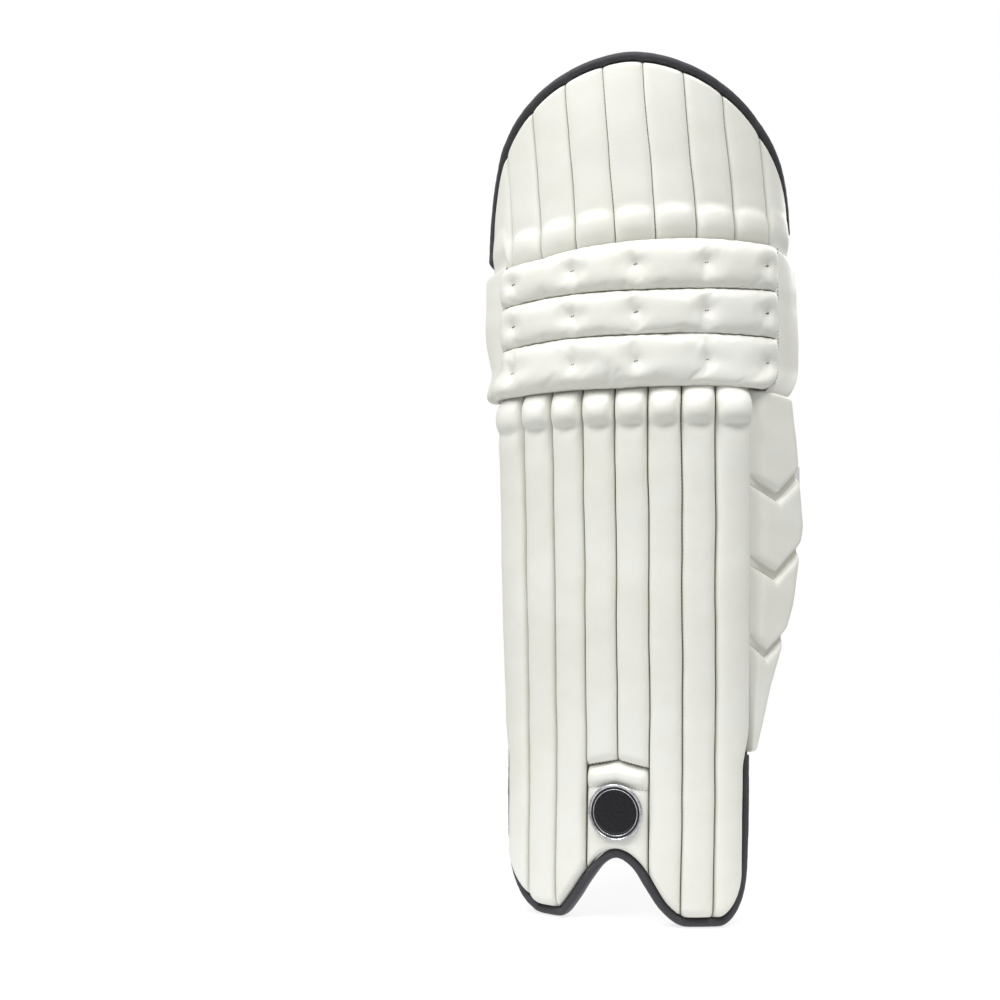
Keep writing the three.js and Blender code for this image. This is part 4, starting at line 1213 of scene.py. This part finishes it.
binding_cloth = woven_strip("charcoal_tape", CHARCOAL)
white_thread = thread_finish("white_thread", THREAD_WHITE)
shin_seams = [(n - SHIN_RIB_COUNT / 2) * SHIN_RIB_WIDTH_AT_FOOT for n in range(1, SHIN_RIB_COUNT)]
from_middle = abs(BINDING_STITCH_DEPTH / BINDING_HALF - 1)
stitch_out = BINDING_OUT * (1 - from_middle**BINDING_ROUND) ** (1 / BINDING_ROUND)
for node, edge, seams, seed, tuck in (
    ("top_binding", flap_edge, flap_seams, 101, 1),
    ("bottom_binding", foot_edge, shin_seams, 105, 0),
):
    name = f"{node}_tape"
    add_piece(name, binding_mesh(name, edge, seams, seed, tuck), binding_cloth, [node])
    line = edge_point(edge[6:-6], BINDING_STITCH_DEPTH, -stitch_out - 0.1)[:, 0]
    sew(f"{node}_stitches", [line], white_thread, 3.1, 1.9, 0.7)

# Thigh lining: a stuffed panel of printed cloth behind the flap, in a plain camouflage of three colours.
# It swells over the bound edge at the very top.
LINING_LOW = 561
LINING_SEAT = 1.6
LINING_EDGE = 4.0
LINING_BULGE = 11
LINING_OVER_EDGE = 6.4
LINING_OVER_BINDING = 7.2
LINING_HALF_WIDTH = 140
CAMO_BLACK = (0.006, 0.006, 0.01)
CAMO_GREY = (0.25, 0.232, 0.27)
CAMO_WHITE = (0.83, 0.83, 0.8)


def camouflage_cloth():
    """Smooth knitted cloth printed with soft-edged blots of black and white on grey."""
    material, place, surface = new_finish("camouflage_cloth", 0.68)
    black = place.moved(Scale=(1.0, 1.0, 1.25)).noise(25, 1.4, 0.45, 1.1)
    white = place.moved(Location=(3.7, 1.3, 5.1), Scale=(1.15, 1.0, 0.9)).noise(29, 1.2, 0.45, 1.0)
    faded = place.noise(40, 3)
    ground = faded.step(0.3, 0.7).tint(CAMO_GREY, darker(CAMO_GREY, 0.86))
    blotted = white.step(0.54, 0.551).tint(ground, CAMO_WHITE)
    set_socket(surface, "Base Color", black.step(0.515, 0.527).tint(blotted, CAMO_BLACK))
    set_socket(surface, "Roughness", faded * 0.15 + 0.62)
    surface.inputs["Specular IOR Level"].default_value = 0.25
    set_bump(surface, place.noise(1500, 2), 0.12)
    return material


camo = camouflage_cloth()
u = edge_to_edge(75)[None, :]
v = stations(140, 3.4)[:, None]
across = mix(FLAP_INNER_LIMIT, FLAP_OUTER_LIMIT, (u + 1) / 2) + 0 * v
below_edge = beside_binding(flap_edge, across[0], -1)[None, :]
high = below_edge + LINING_OVER_EDGE * smooth(110, 60, np.abs(across))
height = mix(LINING_LOW, high, v)
seat = -LINING_SEAT - LINING_OVER_BINDING * smooth(-4, 0.5, height - below_edge)
crown = np.sqrt(1 - u**2) * np.sqrt(np.maximum(0, 1 - (2 * v - 1) ** 2))
rim = rounded_end(height - LINING_LOW, 7) * rounded_end(high - height, 6)
rim = rim * rounded_end((1 - np.abs(u)) * LINING_HALF_WIDTH, 6)
face = seat - rim * (LINING_EDGE + LINING_BULGE * crown)
grid = (across, height)
top_lining = lay_piece(
    "top_lining_cloth", ["top_lining"], pad_point, grid, face, seat, {}, camo,
)
blow_up(top_lining, rim_and_back(*across.shape), 2.0, 0.03, 3)
subdivide(top_lining)

# Shin lining: the plain sheet of leather cloth that backs the shin, seen between the bolsters and wings.
# It is sewn down along its edges and is a little wavy between them.
INSTEP_TOP = 179
LINING_DEPTH = 2.1
LINING_TOP = 434

across = np.linspace(-SHIN_EDGE, SHIN_EDGE, 90)[None, :]
height = np.linspace(INSTEP_TOP + 1, LINING_TOP, 90)[:, None]
waves = 0.35 * uneven(across, 23, 111) + 0.25 * uneven(height, 37, 112)
thin = smooth(0, 2, SHIN_EDGE - np.abs(across)) * smooth(0, 2, height - INSTEP_TOP - 1)
thin = thin * smooth(0, 2, LINING_TOP - height)
face = -LAYER_GAP - thin * (LINING_DEPTH + waves)
# Painted shadow darkens the sheet towards its sides, where it lies in shade between the bolsters and the
# wings.
marks = {"shade_and_dirt": 0.35 * smooth(SHIN_EDGE - 14, SHIN_EDGE, np.abs(across))}
shin_lining = lay_piece(
    "shin_lining_sheet", ["shin_lining"], shin_point, (across, height), face, -LAYER_GAP, marks,
)

# Foot lining: cool white leather cloth over thin foam, three upright ribs at each side of a plain middle
# panel, sewn to the foot and faintly wrinkled.
FOOT_WHITE = (0.73, 0.755, 0.775)
# Seam colour of the foot lining: painted shade in its seams, with some dirt.
FOOT_SEAM_SHADE_AND_DIRT = (0.42, 0.44, 0.47)
INSTEP_DEPTH = 7
INSTEP_SKIN = 1.6
INSTEP_PANELS = (
    # node, left, right, ribs
    ("instep_lining_inner", -FOOT_LIMIT, -PATCH_HALF_WIDTH, 3),
    ("instep_lining_centre", -PATCH_HALF_WIDTH, PATCH_HALF_WIDTH, 1),
    ("instep_lining_outer", PATCH_HALF_WIDTH, FOOT_LIMIT, 3),
)

foot_leather = leather_cloth("cool_white_leather_cloth", FOOT_WHITE, FOOT_SEAM_SHADE_AND_DIRT)
for node, left, right, ribs in INSTEP_PANELS:
    one_rib = (edge_to_edge(23) + 1) / 2
    u = np.concatenate([(i + one_rib)[:-1] for i in range(ribs)] + [[ribs]])[None, :] / ribs
    across = mix(left + SEAM_GAP, right - SEAM_GAP, u)
    low = beside_binding(foot_edge, across, 1)
    height = mix(low, INSTEP_TOP, stations(150, 2.4)[:, None])
    side = np.where(u == 1, 1, 2 * ((u * ribs) % 1) - 1)
    rise = (1 - np.abs(side) ** 2.6) ** 0.5
    ends = rounded_end(height - low, 9) * rounded_end(INSTEP_TOP - height, 6)
    wrinkles = 0.45 * uneven(across + 0.7 * height, 26, 120 + ribs) * uneven(height, 70, 121)
    outer_rim = rounded_end((right - left) * u, 1.5) * rounded_end((right - left) * (1 - u), 1.5)
    face = -LAYER_GAP - ends * outer_rim * (INSTEP_SKIN + INSTEP_DEPTH * rise + wrinkles)
    # Painted shade, with some dirt, darkens the seams between the ribs and their ends.
    marks = {"shade_and_dirt": np.maximum(smooth(0.55, 0.05, rise), 0.4 * smooth(0.5, 0, ends))}
    name = f"{node}_cover"
    grid = (across, height)
    lay_piece(name, [node], pad_point, grid, face, -LAYER_GAP, marks, foot_leather)

# Knee cups: three cushions against the knee, white air mesh at both sides and camouflage cloth in the
# middle. The lower edges of the outer two slant down and outwards.
MESH_WHITE = (0.89, 0.89, 0.865)
# Grey of the holes: painted shade inside them.
MESH_HOLE_SHADE = (0.45, 0.45, 0.45)
# Seam colour of the mesh: painted shade along the cushions' seams.
MESH_SEAM_SHADE = (0.4, 0.39, 0.37)
HOLE_PITCH = 3.2
KNEE_BOLSTER_SEAT = 1.4
KNEE_BOLSTER_TOP = 560.4
KNEE_BOLSTER_LOW = 457
KNEE_BOLSTER_DROP = 22
KNEE_BOLSTER_ROUND = 25
KNEE_BEND = 112
KNEE_BEND_WIDTH = 17
KNEE_BEND_FILL = 9
KNEE_BEND_SEAT = 5.4


def air_mesh(name, color):
    """Spacer mesh: a white knit with small holes in slanting rows, painted as grey shade, which fade where
    open is 0. Its seams are darkened with painted shade.
    """
    material, place, surface = new_finish(name, 0.75)
    column, row = place.flat().parts()
    turns = 2 * math.pi / (HOLE_PITCH * MM)
    dots = column.math("COSINE", column * turns) * row.math("COSINE", row * turns)
    holes = dots.step(0.35, 0.75) * place.mark("open")
    white = place.noise(30, 3).step(0.3, 0.7).tint(color, darker(color, 0.96))
    # The holes are painted grey as shade, and the seams darker as painted shade.
    knit = holes.tint(white, MESH_HOLE_SHADE)
    set_socket(surface, "Base Color", place.mark("shade_and_dirt").step(0.1, 1).tint(knit, MESH_SEAM_SHADE))
    surface.inputs["Sheen Weight"].default_value = 0.2
    set_bump(surface, place.noise(1800, 2) * 0.25 - holes, 0.5)
    return material


def cushion(node, material, grid, seat, thick, opening, swell_cap, point=pad_point):
    """A cushion sewn to the lining round its rim, blown up by the cloth simulation. grid holds its
    millimetres across and up, thick is how far it stands out, and opening is 1 where its mesh has holes."""
    rows, columns = grid[0].shape
    u = np.linspace(-1, 1, columns)[None, :]
    v = np.linspace(-1, 1, rows)[:, None]
    # Painted shade darkens the cushion's rim, where it is sewn down.
    marks = {"shade_and_dirt": np.maximum(np.abs(u), np.abs(v)) ** 40, "open": opening}
    face = -seat - thick
    piece = lay_piece(f"{node}_cushion", [node], point, grid, face, -seat, marks, material)
    blow_up(piece, rim_and_back(rows, columns), 2.0, 0.02, swell_cap)
    subdivide(piece)


def pillow(u, v, power, end_power):
    """How full a cushion is at shares from -1 to 1 of its width and height."""
    return ((1 - np.abs(u) ** power) * (1 - np.abs(v) ** end_power)) ** 0.45


def knee_cup_low(across):
    """The lower edge of the knee cups, which the shin bolsters reach up to."""
    past_middle = np.hypot(across, KNEE_BOLSTER_ROUND) - KNEE_BOLSTER_ROUND
    return KNEE_BOLSTER_LOW - KNEE_BOLSTER_DROP * past_middle / (ROLL_HALF_LENGTH - KNEE_BOLSTER_ROUND)


white_mesh = air_mesh("white_air_mesh", MESH_WHITE)
for node, left, right, depth, material, slot in (
    ("knee_bolster_inner", -146, -38.4, 19, white_mesh, "air_mesh"),
    ("knee_bolster_centre", -38, 38, 17, camo, "camouflage_cloth"),
    ("knee_bolster_outer", 38.4, 146, 19, white_mesh, "air_mesh"),
):
    u = edge_to_edge(31)[None, :]
    v = edge_to_edge(35)[:, None]
    across = mix(left, right, (u * (1 - 0.05 * np.abs(v) ** 8) + 1) / 2)
    height = mix(knee_cup_low(across), KNEE_BOLSTER_TOP, (v * (1 - 0.04 * np.abs(u) ** 8) + 1) / 2)
    filled_bend = KNEE_BEND_FILL * np.exp(-(((np.abs(across) - KNEE_BEND) / KNEE_BEND_WIDTH) ** 2))
    thick = (depth + filled_bend) * pillow(u, v, 3, 3)
    seat = KNEE_BOLSTER_SEAT + KNEE_BEND_SEAT * smooth(84, 118, np.abs(across))
    cushion(node, material, (across, height), seat, thick, 1.0, 3)

# Shin bolsters: two long cushions of air mesh beside the shin bone, smooth at their heads, and a flatter
# strip of camouflage cloth between them.
SHIN_BOLSTER_REACH = np.array([
    # height, outer, inner
    (181, 62, 96),
    (218, 79, 94),
    (250, 89, 92),
    (290, 96, 91),
    (330, 98, 90),
    (400, 95, 88),
    (432, 91, 85),
    (445, 84, 79),
], float)
SHIN_BOLSTER_LOW = SHIN_BOLSTER_REACH[0, 0]
SHIN_BOLSTER_HIGH = SHIN_BOLSTER_REACH[-1, 0]
SHIN_BOLSTER_SEAT = 4.0
SHIN_BOLSTER_DEPTH = 21
SHIN_BOLSTER_GAP = 0.6
SHIN_CENTRE_DEPTH = 11
SHIN_CENTRE_HALF_WIDTH = 28
KNEE_SHIFT = 13
KNEE_CUP_GAP = 0.8
HOLES_FADE = (415, 340)
MESH_CREAM = (0.9, 0.885, 0.825)


def bolster_height(across, v):
    """Heights of a shin bolster, whose head follows the lower edge of the knee cups."""
    return mix(SHIN_BOLSTER_LOW, knee_cup_low(across - KNEE_SHIFT) - KNEE_CUP_GAP, (v + 1) / 2)


cream_mesh = air_mesh("cream_air_mesh", MESH_CREAM)
u = edge_to_edge(27)[None, :]
v = edge_to_edge(79)[:, None]
level = mix(SHIN_BOLSTER_LOW, SHIN_BOLSTER_HIGH, (v + 1) / 2)
for node, column, side in (("shin_bolster_outer", 1, 1), ("shin_bolster_inner", 2, -1)):
    reach = np.interp(level, SHIN_BOLSTER_REACH[:, 0], SHIN_BOLSTER_REACH[:, column])
    across = side * mix(SHIN_CENTRE_HALF_WIDTH + SHIN_BOLSTER_GAP, reach, (u + 1) / 2)
    height = bolster_height(across, v)
    grid = (across, height)
    thick = SHIN_BOLSTER_DEPTH * pillow(u, v, 3, 7) * (1 + 0.04 * uneven(height, 80, 130 + column))
    opening = smooth(*HOLES_FADE, height)
    cushion(node, cream_mesh, grid, SHIN_BOLSTER_SEAT, thick, opening, 4, shin_point)

node = "shin_bolster_centre"
across = SHIN_CENTRE_HALF_WIDTH * u + 0 * v
grid = (across, bolster_height(across, v))
thick = SHIN_CENTRE_DEPTH * pillow(u, v, 4, 9)
cushion(node, camo, grid, SHIN_BOLSTER_SEAT, thick, 0.0, 3, shin_point)

# Straps: woven webbing with a dark band along it. A short anchor is sewn to the outer side and holds a
# clear plastic ring, the strap is folded round the ring's other bar, crosses the back of the leg and ends
# on the inner side under a tab or a label. The strap's fold is sewn down by white stitches, and so is its
# end where it lies on a patch.
WEB = 1.8 * MM
LIFT = 2.4 * MM
RING_BAR = 3.4 * MM
RING_LENGTH = 15 * MM
RING_OVERHANG = 4 * MM
RING_BEND = 3.6 * MM
RING_REACH = RING_LENGTH / 2 + 0.4 * MM
LOOP_RADIUS = RING_BAR / 2 + 0.3 * MM + WEB / 2
ANCHOR_TAIL = 13 * MM
STRAP_TAIL = 20 * MM
TAIL_MIDDLE = 2.5 * MM
TAIL_END = 2.3 * MM
FOLD_LENGTH = 20 * MM
FOLD_STITCH_LIFT = 2.9 * MM
FOLD_STITCHES = (10, 14, 18)
END_STITCHES = (3, 6)
ROUTE_POINTS = 400
TAB_SHARE = 0.9
TAB_RELIEF = 0.35 * MM
RIDGE_RELIEF = 0.3 * MM
RIDGE_PITCH = 3.2 * MM
KNEE_INSIDE = -8
WING_INSIDE = -2.2
WING_OUTSIDE = 12.6
FOOT_INSIDE = -10.6
BAND_SOFTNESS = 0.006
WEB_BLACK = (0.012, 0.012, 0.012)
UP = np.array([0, 0, 1])


def floor_points(points):
    """Given points of a strap's route, from millimetres to metres."""
    return np.array(points, float) * MM + np.array([*PAD_AXIS, 0])


STRAPS = (
    {
        "name": "top_strap",
        "width": 28 * MM,
        "seat": pad_point([132, 144, 154], 484, KNEE_INSIDE),
        "fold": floor_points([(124, 94, 484)]),
        "route": floor_points([
            (104, 95, 487), (60, 94, 491), (10, 88, 494), (-40, 78, 489), (-84, 67, 482), (-108, 59, 477),
        ]),
        "end": pad_point([-152, -138], 475, KNEE_INSIDE),
        "strap_end": 0.73,
        "patch_start": 0.6,
        "tab": (0.72, 0.8),
        "bands": (0.17, 0.23, 0.57, 0.66),
    },
    {
        "name": "middle_strap",
        "width": 57 * MM,
        "seat": wing_point(1, [24, 46], 350, WING_INSIDE),
        "fold": floor_points([(140, 71, 350), (133, 77, 350)]),
        "route": floor_points([
            (103, 82, 350), (60, 87, 350), (0, 90, 350), (-60, 89, 350), (-100, 87, 350),
        ]),
        "end": wing_point(-1, [51, 42, 32], 350, [9, WING_OUTSIDE, WING_OUTSIDE]),
        "strap_end": 1,
        "patch_start": None,
        "tab": (0.52, 0.9),
        "bands": (0.145, 0.25, 0.545, 0.615),
    },
    {
        "name": "bottom_strap",
        "width": 58 * MM,
        "seat": pad_point([82, 96], 152, FOOT_INSIDE),
        "fold": floor_points([(93, 46, 152), (96, 52, 152), (93, 57, 152)]),
        "route": floor_points([
            (72, 62, 152), (40, 67, 153), (0, 69, 153), (-40, 67, 152), (-78, 60, 150), (-93, 51, 149),
        ]),
        "end": pad_point([-97, -86], 149, FOOT_INSIDE),
        "strap_end": 0.74,
        "patch_start": 0.62,
        "tab": (0.73, 0.88),
        "bands": (0.145, 0.25, 0.545, 0.615),
    },
)


def webbing(name, bands):
    """Flat woven webbing: white, with a black line, a dark twill band and a thin grey line along it. bands
    are the shares of the width, from the lower edge up, at which these begin and end."""
    material, place, surface = new_finish(name, 0.78)
    flat = place.flat()
    share = flat.parts()[1]
    twill = flat.moved(Scale=(1, 0.05, 1), Rotation=(0, 0, math.radians(40))).wave("X", 200, 0.5)
    weave = place.noise(2200, 2)
    white = weave.step(0.3, 0.7).tint((0.84, 0.84, 0.83), (0.7, 0.7, 0.7))
    dark = twill.step(0.35, 0.75).tint((0.022, 0.019, 0.019), (0.095, 0.083, 0.078))
    line = twill.step(0.4, 0.7).tint((0.12, 0.125, 0.11), (0.42, 0.43, 0.39))
    color = white
    for start, next_color in zip(bands, (WEB_BLACK, dark, line, white)):
        color = share.step(start - BAND_SOFTNESS, start + BAND_SOFTNESS).tint(color, next_color)
    set_socket(surface, "Base Color", color)
    surface.inputs["Sheen Weight"].default_value = 0.2
    set_bump(surface, twill * 0.7 + weave * 0.3, 0.22)
    return material


def clear_plastic():
    material, place, surface = new_finish("clear_plastic", 0.18)
    clouds = place.noise(90, 3)
    set_socket(surface, "Base Color", clouds.step(0.3, 0.7).tint((0.86, 0.87, 0.86), (0.78, 0.79, 0.79)))
    set_socket(surface, "Roughness", clouds * 0.12 + 0.1)
    surface.inputs["Transmission Weight"].default_value = 0.55
    surface.inputs["IOR"].default_value = 1.45
    return material


def grey_rubber():
    material, place, surface = new_finish("grey_rubber", 0.5)
    dust = place.noise(120, 4, 0.6)
    set_socket(surface, "Base Color", dust.step(0.3, 0.75).tint((0.3, 0.315, 0.335), (0.4, 0.415, 0.43)))
    set_socket(surface, "Roughness", dust * 0.2 + 0.36)
    set_bump(surface, place.noise(1600, 2), 0.08)
    return material


def woven_label():
    """A dark woven label with a pale sewn border and slanting pale bars."""
    material, place, surface = new_finish("woven_label", 0.72)
    border = place.mark("border")
    bars = place.flat().moved(Rotation=(0, 0, math.radians(-32))).wave("X", 26, 0.0)
    threads = place.noise(2400, 2)
    dark = threads.step(0.3, 0.7).tint((0.012, 0.013, 0.018), (0.035, 0.036, 0.042))
    color = (bars.step(0.8, 0.86) * border.step(5.4, 5.9)).tint(dark, (0.34, 0.35, 0.37))
    rim = border.step(1.4, 1.8) * (1 - border.step(2.8, 3.2))
    set_socket(surface, "Base Color", rim.tint(color, (0.72, 0.72, 0.72)))
    set_bump(surface, threads, 0.2)
    return material


def loop_patch():
    """Ivory leather cloth with a strip of grey-beige loop pile sewn along its middle."""
    material, place, surface = new_finish("loop_patch", 0.6)
    share = place.flat().parts()[1]
    pile = share.step(0.2, 0.22) * (1 - share.step(0.78, 0.8))
    fuzz = place.noise(1700, 3, 0.7)
    loops = fuzz.step(0.3, 0.7).tint((0.5, 0.49, 0.45), (0.66, 0.65, 0.61))
    leather = place.noise(60, 3).step(0.3, 0.7).tint(IVORY, (0.8, 0.79, 0.72))
    set_socket(surface, "Base Color", pile.tint(leather, loops))
    set_socket(surface, "Roughness", pile * 0.4 + 0.48)
    set_bump(surface, pile * fuzz + place.noise(900, 2) * 0.2, 0.4)
    return material


def sideways(line):
    """The level direction square to a line, at each of its points."""
    along = np.gradient(line, axis=0)
    out = np.stack([along[:, 1], -along[:, 0], 0 * along[:, 0]], -1)
    return out / np.linalg.norm(out, axis=1, keepdims=True)


def stretch(line, low, high):
    """The part of a route between two shares of its length."""
    return line[round(low * ROUTE_POINTS):round(high * ROUTE_POINTS) + 1]


def band_mesh(name, line, width):
    """A flat band of webbing with soft edges along a line, standing on edge."""
    share = edge_to_edge(25)
    edge = (1 - np.abs(share) ** 30) ** 0.5
    ring = np.concatenate([np.stack([share, edge], -1), np.stack([share, -edge], -1)[-2:0:-1]])[None]
    points = line[:, None, :] + sideways(line)[:, None, :] * ring[..., 1:] * WEB / 2
    points = points + UP * ring[..., :1] * width / 2
    flat = np.stack(np.broadcast_arrays(walked_length(line)[:, None], (ring[..., 0] + 1) / 2), -1)
    return loop_mesh(name, points, False, flat)


def folded_line(main, bar, away, out, tail):
    """A band's line with its end folded round a ring's bar. away points along the band, and out to its
    outside."""
    turn = np.radians(np.linspace(-90, -270, 13))[:, None]
    round_bar = bar + LOOP_RADIUS * (np.sin(turn) * out + np.cos(turn) * away)
    back = [bar + away * tail - out * TAIL_END, bar + away * tail / 2 - out * TAIL_MIDDLE]
    walked = np.linalg.norm(main - main[0], axis=1)[:, None]
    lifted = main + out * (LOOP_RADIUS * smooth(FOLD_LENGTH, 2 * MM, walked))
    return smooth_curve(np.vstack([back, round_bar, lifted[1:]]), 260)


def ring_mesh(name, centre, heading, out, width):
    """A rounded plastic ring, standing upright."""
    long = RING_LENGTH / 2 - RING_BAR / 2 - RING_BEND
    tall = width / 2 + RING_OVERHANG - RING_BAR / 2 - RING_BEND
    path = []
    normals = []
    for quarter, (x, z) in enumerate([(1, 1), (-1, 1), (-1, -1), (1, -1)]):
        for turn in np.radians(90 * quarter + np.linspace(0, 90, 9)):
            normal = np.cos(turn) * heading + np.sin(turn) * UP
            path.append(centre + heading * x * long + UP * z * tall + normal * RING_BEND)
            normals.append(normal)
    around = np.linspace(0, 2 * np.pi, 17)[:-1][None, :, None]
    path = np.array(path)[:, None, :]
    normals = np.array(normals)[:, None, :]
    return loop_mesh(name, path + RING_BAR / 2 * (normals * np.cos(around) + out * np.sin(around)))


def tab_mesh(name, line, width, pointed):
    """A flat tab along a line: a label pointed at its start, or a ridged rubber D rounded at its end."""
    v = np.linspace(0, 1, len(line))[:, None]
    u = np.linspace(-1, 1, 41)[None, :]
    length = walked_length(line)[-1]
    if pointed:
        shape = np.minimum(1, 0.02 + 3.2 * v)
        slope = 0.83
    else:
        shape = np.sqrt(np.maximum(0.02, 1 - np.clip((v - 0.35) / 0.65, 0, 1) ** 2))
        slope = 1
    half = TAB_SHARE * width / 2 * shape
    border = np.minimum((1 - np.abs(u)) * half * slope, np.minimum(1 - v, v) * length) / MM
    relief = TAB_RELIEF * smooth(0.2, 0.6, border)
    if not pointed:
        ridges = smooth(0.2, 0.6, np.cos(2 * np.pi * v * length / RIDGE_PITCH)) * smooth(3.2, 4, border)
        relief = relief - 0.8 * TAB_RELIEF * smooth(1.6, 2.2, border) + RIDGE_RELIEF * ridges
    out = sideways(line)[:, None, :]
    middle = line[:, None, :] + UP * (u * half)[..., None]
    front = middle + out * (0.9 * WEB / 2 * smooth(0, 0.5, border) + relief)[..., None]
    flat = np.stack(np.broadcast_arrays(v * length, u * half), -1)
    return closed_mesh(name, front, middle - out * WEB / 2, flat, {"border": border})


ring_plastic = clear_plastic()
tab_rubber = grey_rubber()
label_cloth = woven_label()
pile_patch = loop_patch()
for strap in STRAPS:
    node = strap["name"]
    width = strap["width"]
    patched = strap["patch_start"] is not None
    whole = smooth_curve(np.vstack([strap["route"], strap["end"]]), ROUTE_POINTS)
    lift = LIFT if patched else 0
    lifted = whole + sideways(whole) * lift
    heading = whole[1] - whole[0]
    heading[2] = 0
    heading /= np.linalg.norm(heading)
    out = np.array([heading[1], -heading[0], 0])
    ring_centre = lifted[0] - heading * RING_REACH
    bar = heading * (RING_LENGTH - RING_BAR) / 2
    cloth = webbing(f"{node}_webbing", strap["bands"])

    name = f"{node}_ring_moulding"
    ring = ring_mesh(name, ring_centre, heading, out, width)
    add_piece(name, ring, ring_plastic, [f"{node}_ring"])

    name = f"{node}_anchor_webbing"
    anchor_bar = ring_centre - heading * RING_REACH
    held = np.vstack([strap["seat"], strap["fold"], anchor_bar - heading * RING_BAR, anchor_bar])
    anchor = folded_line(smooth_curve(held, 160)[::-1], ring_centre - bar, -heading, out, ANCHOR_TAIL)
    add_piece(name, band_mesh(name, anchor, width), cloth, [f"{node}_anchor"])

    name = f"{node}_webbing"
    crossing = stretch(lifted, 0, strap["strap_end"])
    runs = folded_line(crossing, ring_centre + bar, heading, out, STRAP_TAIL)
    add_piece(name, band_mesh(name, runs, width), cloth, [node])

    if patched:
        name = f"{node}_patch_band"
        band = band_mesh(name, stretch(whole, strap["patch_start"], 1), width)
        patch_cloth = pile_patch if node == "top_strap" else ivory_leather
        add_piece(name, band, patch_cloth, [f"{node}_patch"])

    tab_line = stretch(whole + sideways(whole) * (lift + LIFT), *strap["tab"])
    if node == "middle_strap":
        name = f"{node}_tab_label"
        add_piece(name, tab_mesh(name, tab_line, width, True), label_cloth, [f"{node}_tab"])
    else:
        name = f"{node}_tab_rubber"
        add_piece(name, tab_mesh(name, tab_line, width, False), tab_rubber, [f"{node}_tab"])

    cross_lines = []
    up = np.linspace(-0.46, 0.46, 12)[:, None] * UP * width
    for along_mm in FOLD_STITCHES:
        stitch_out = WEB / 2 + FOLD_STITCH_LIFT * smooth(20, 2, along_mm + 2.0)
        cross_lines.append(lifted[0] + heading * along_mm * MM + out * stitch_out + up)
    if patched:
        spacing = np.linalg.norm(whole[1] - whole[0])
        for back_mm in END_STITCHES:
            spot = round(strap["strap_end"] * ROUTE_POINTS) - round(back_mm * MM / spacing)
            cross_lines.append(lifted[spot] + sideways(lifted)[spot] * (WEB / 2 + 0.1 * MM) + up)
    sew(f"{node}_stitches", cross_lines, white_thread, 2.6, 2.2, 0.7)
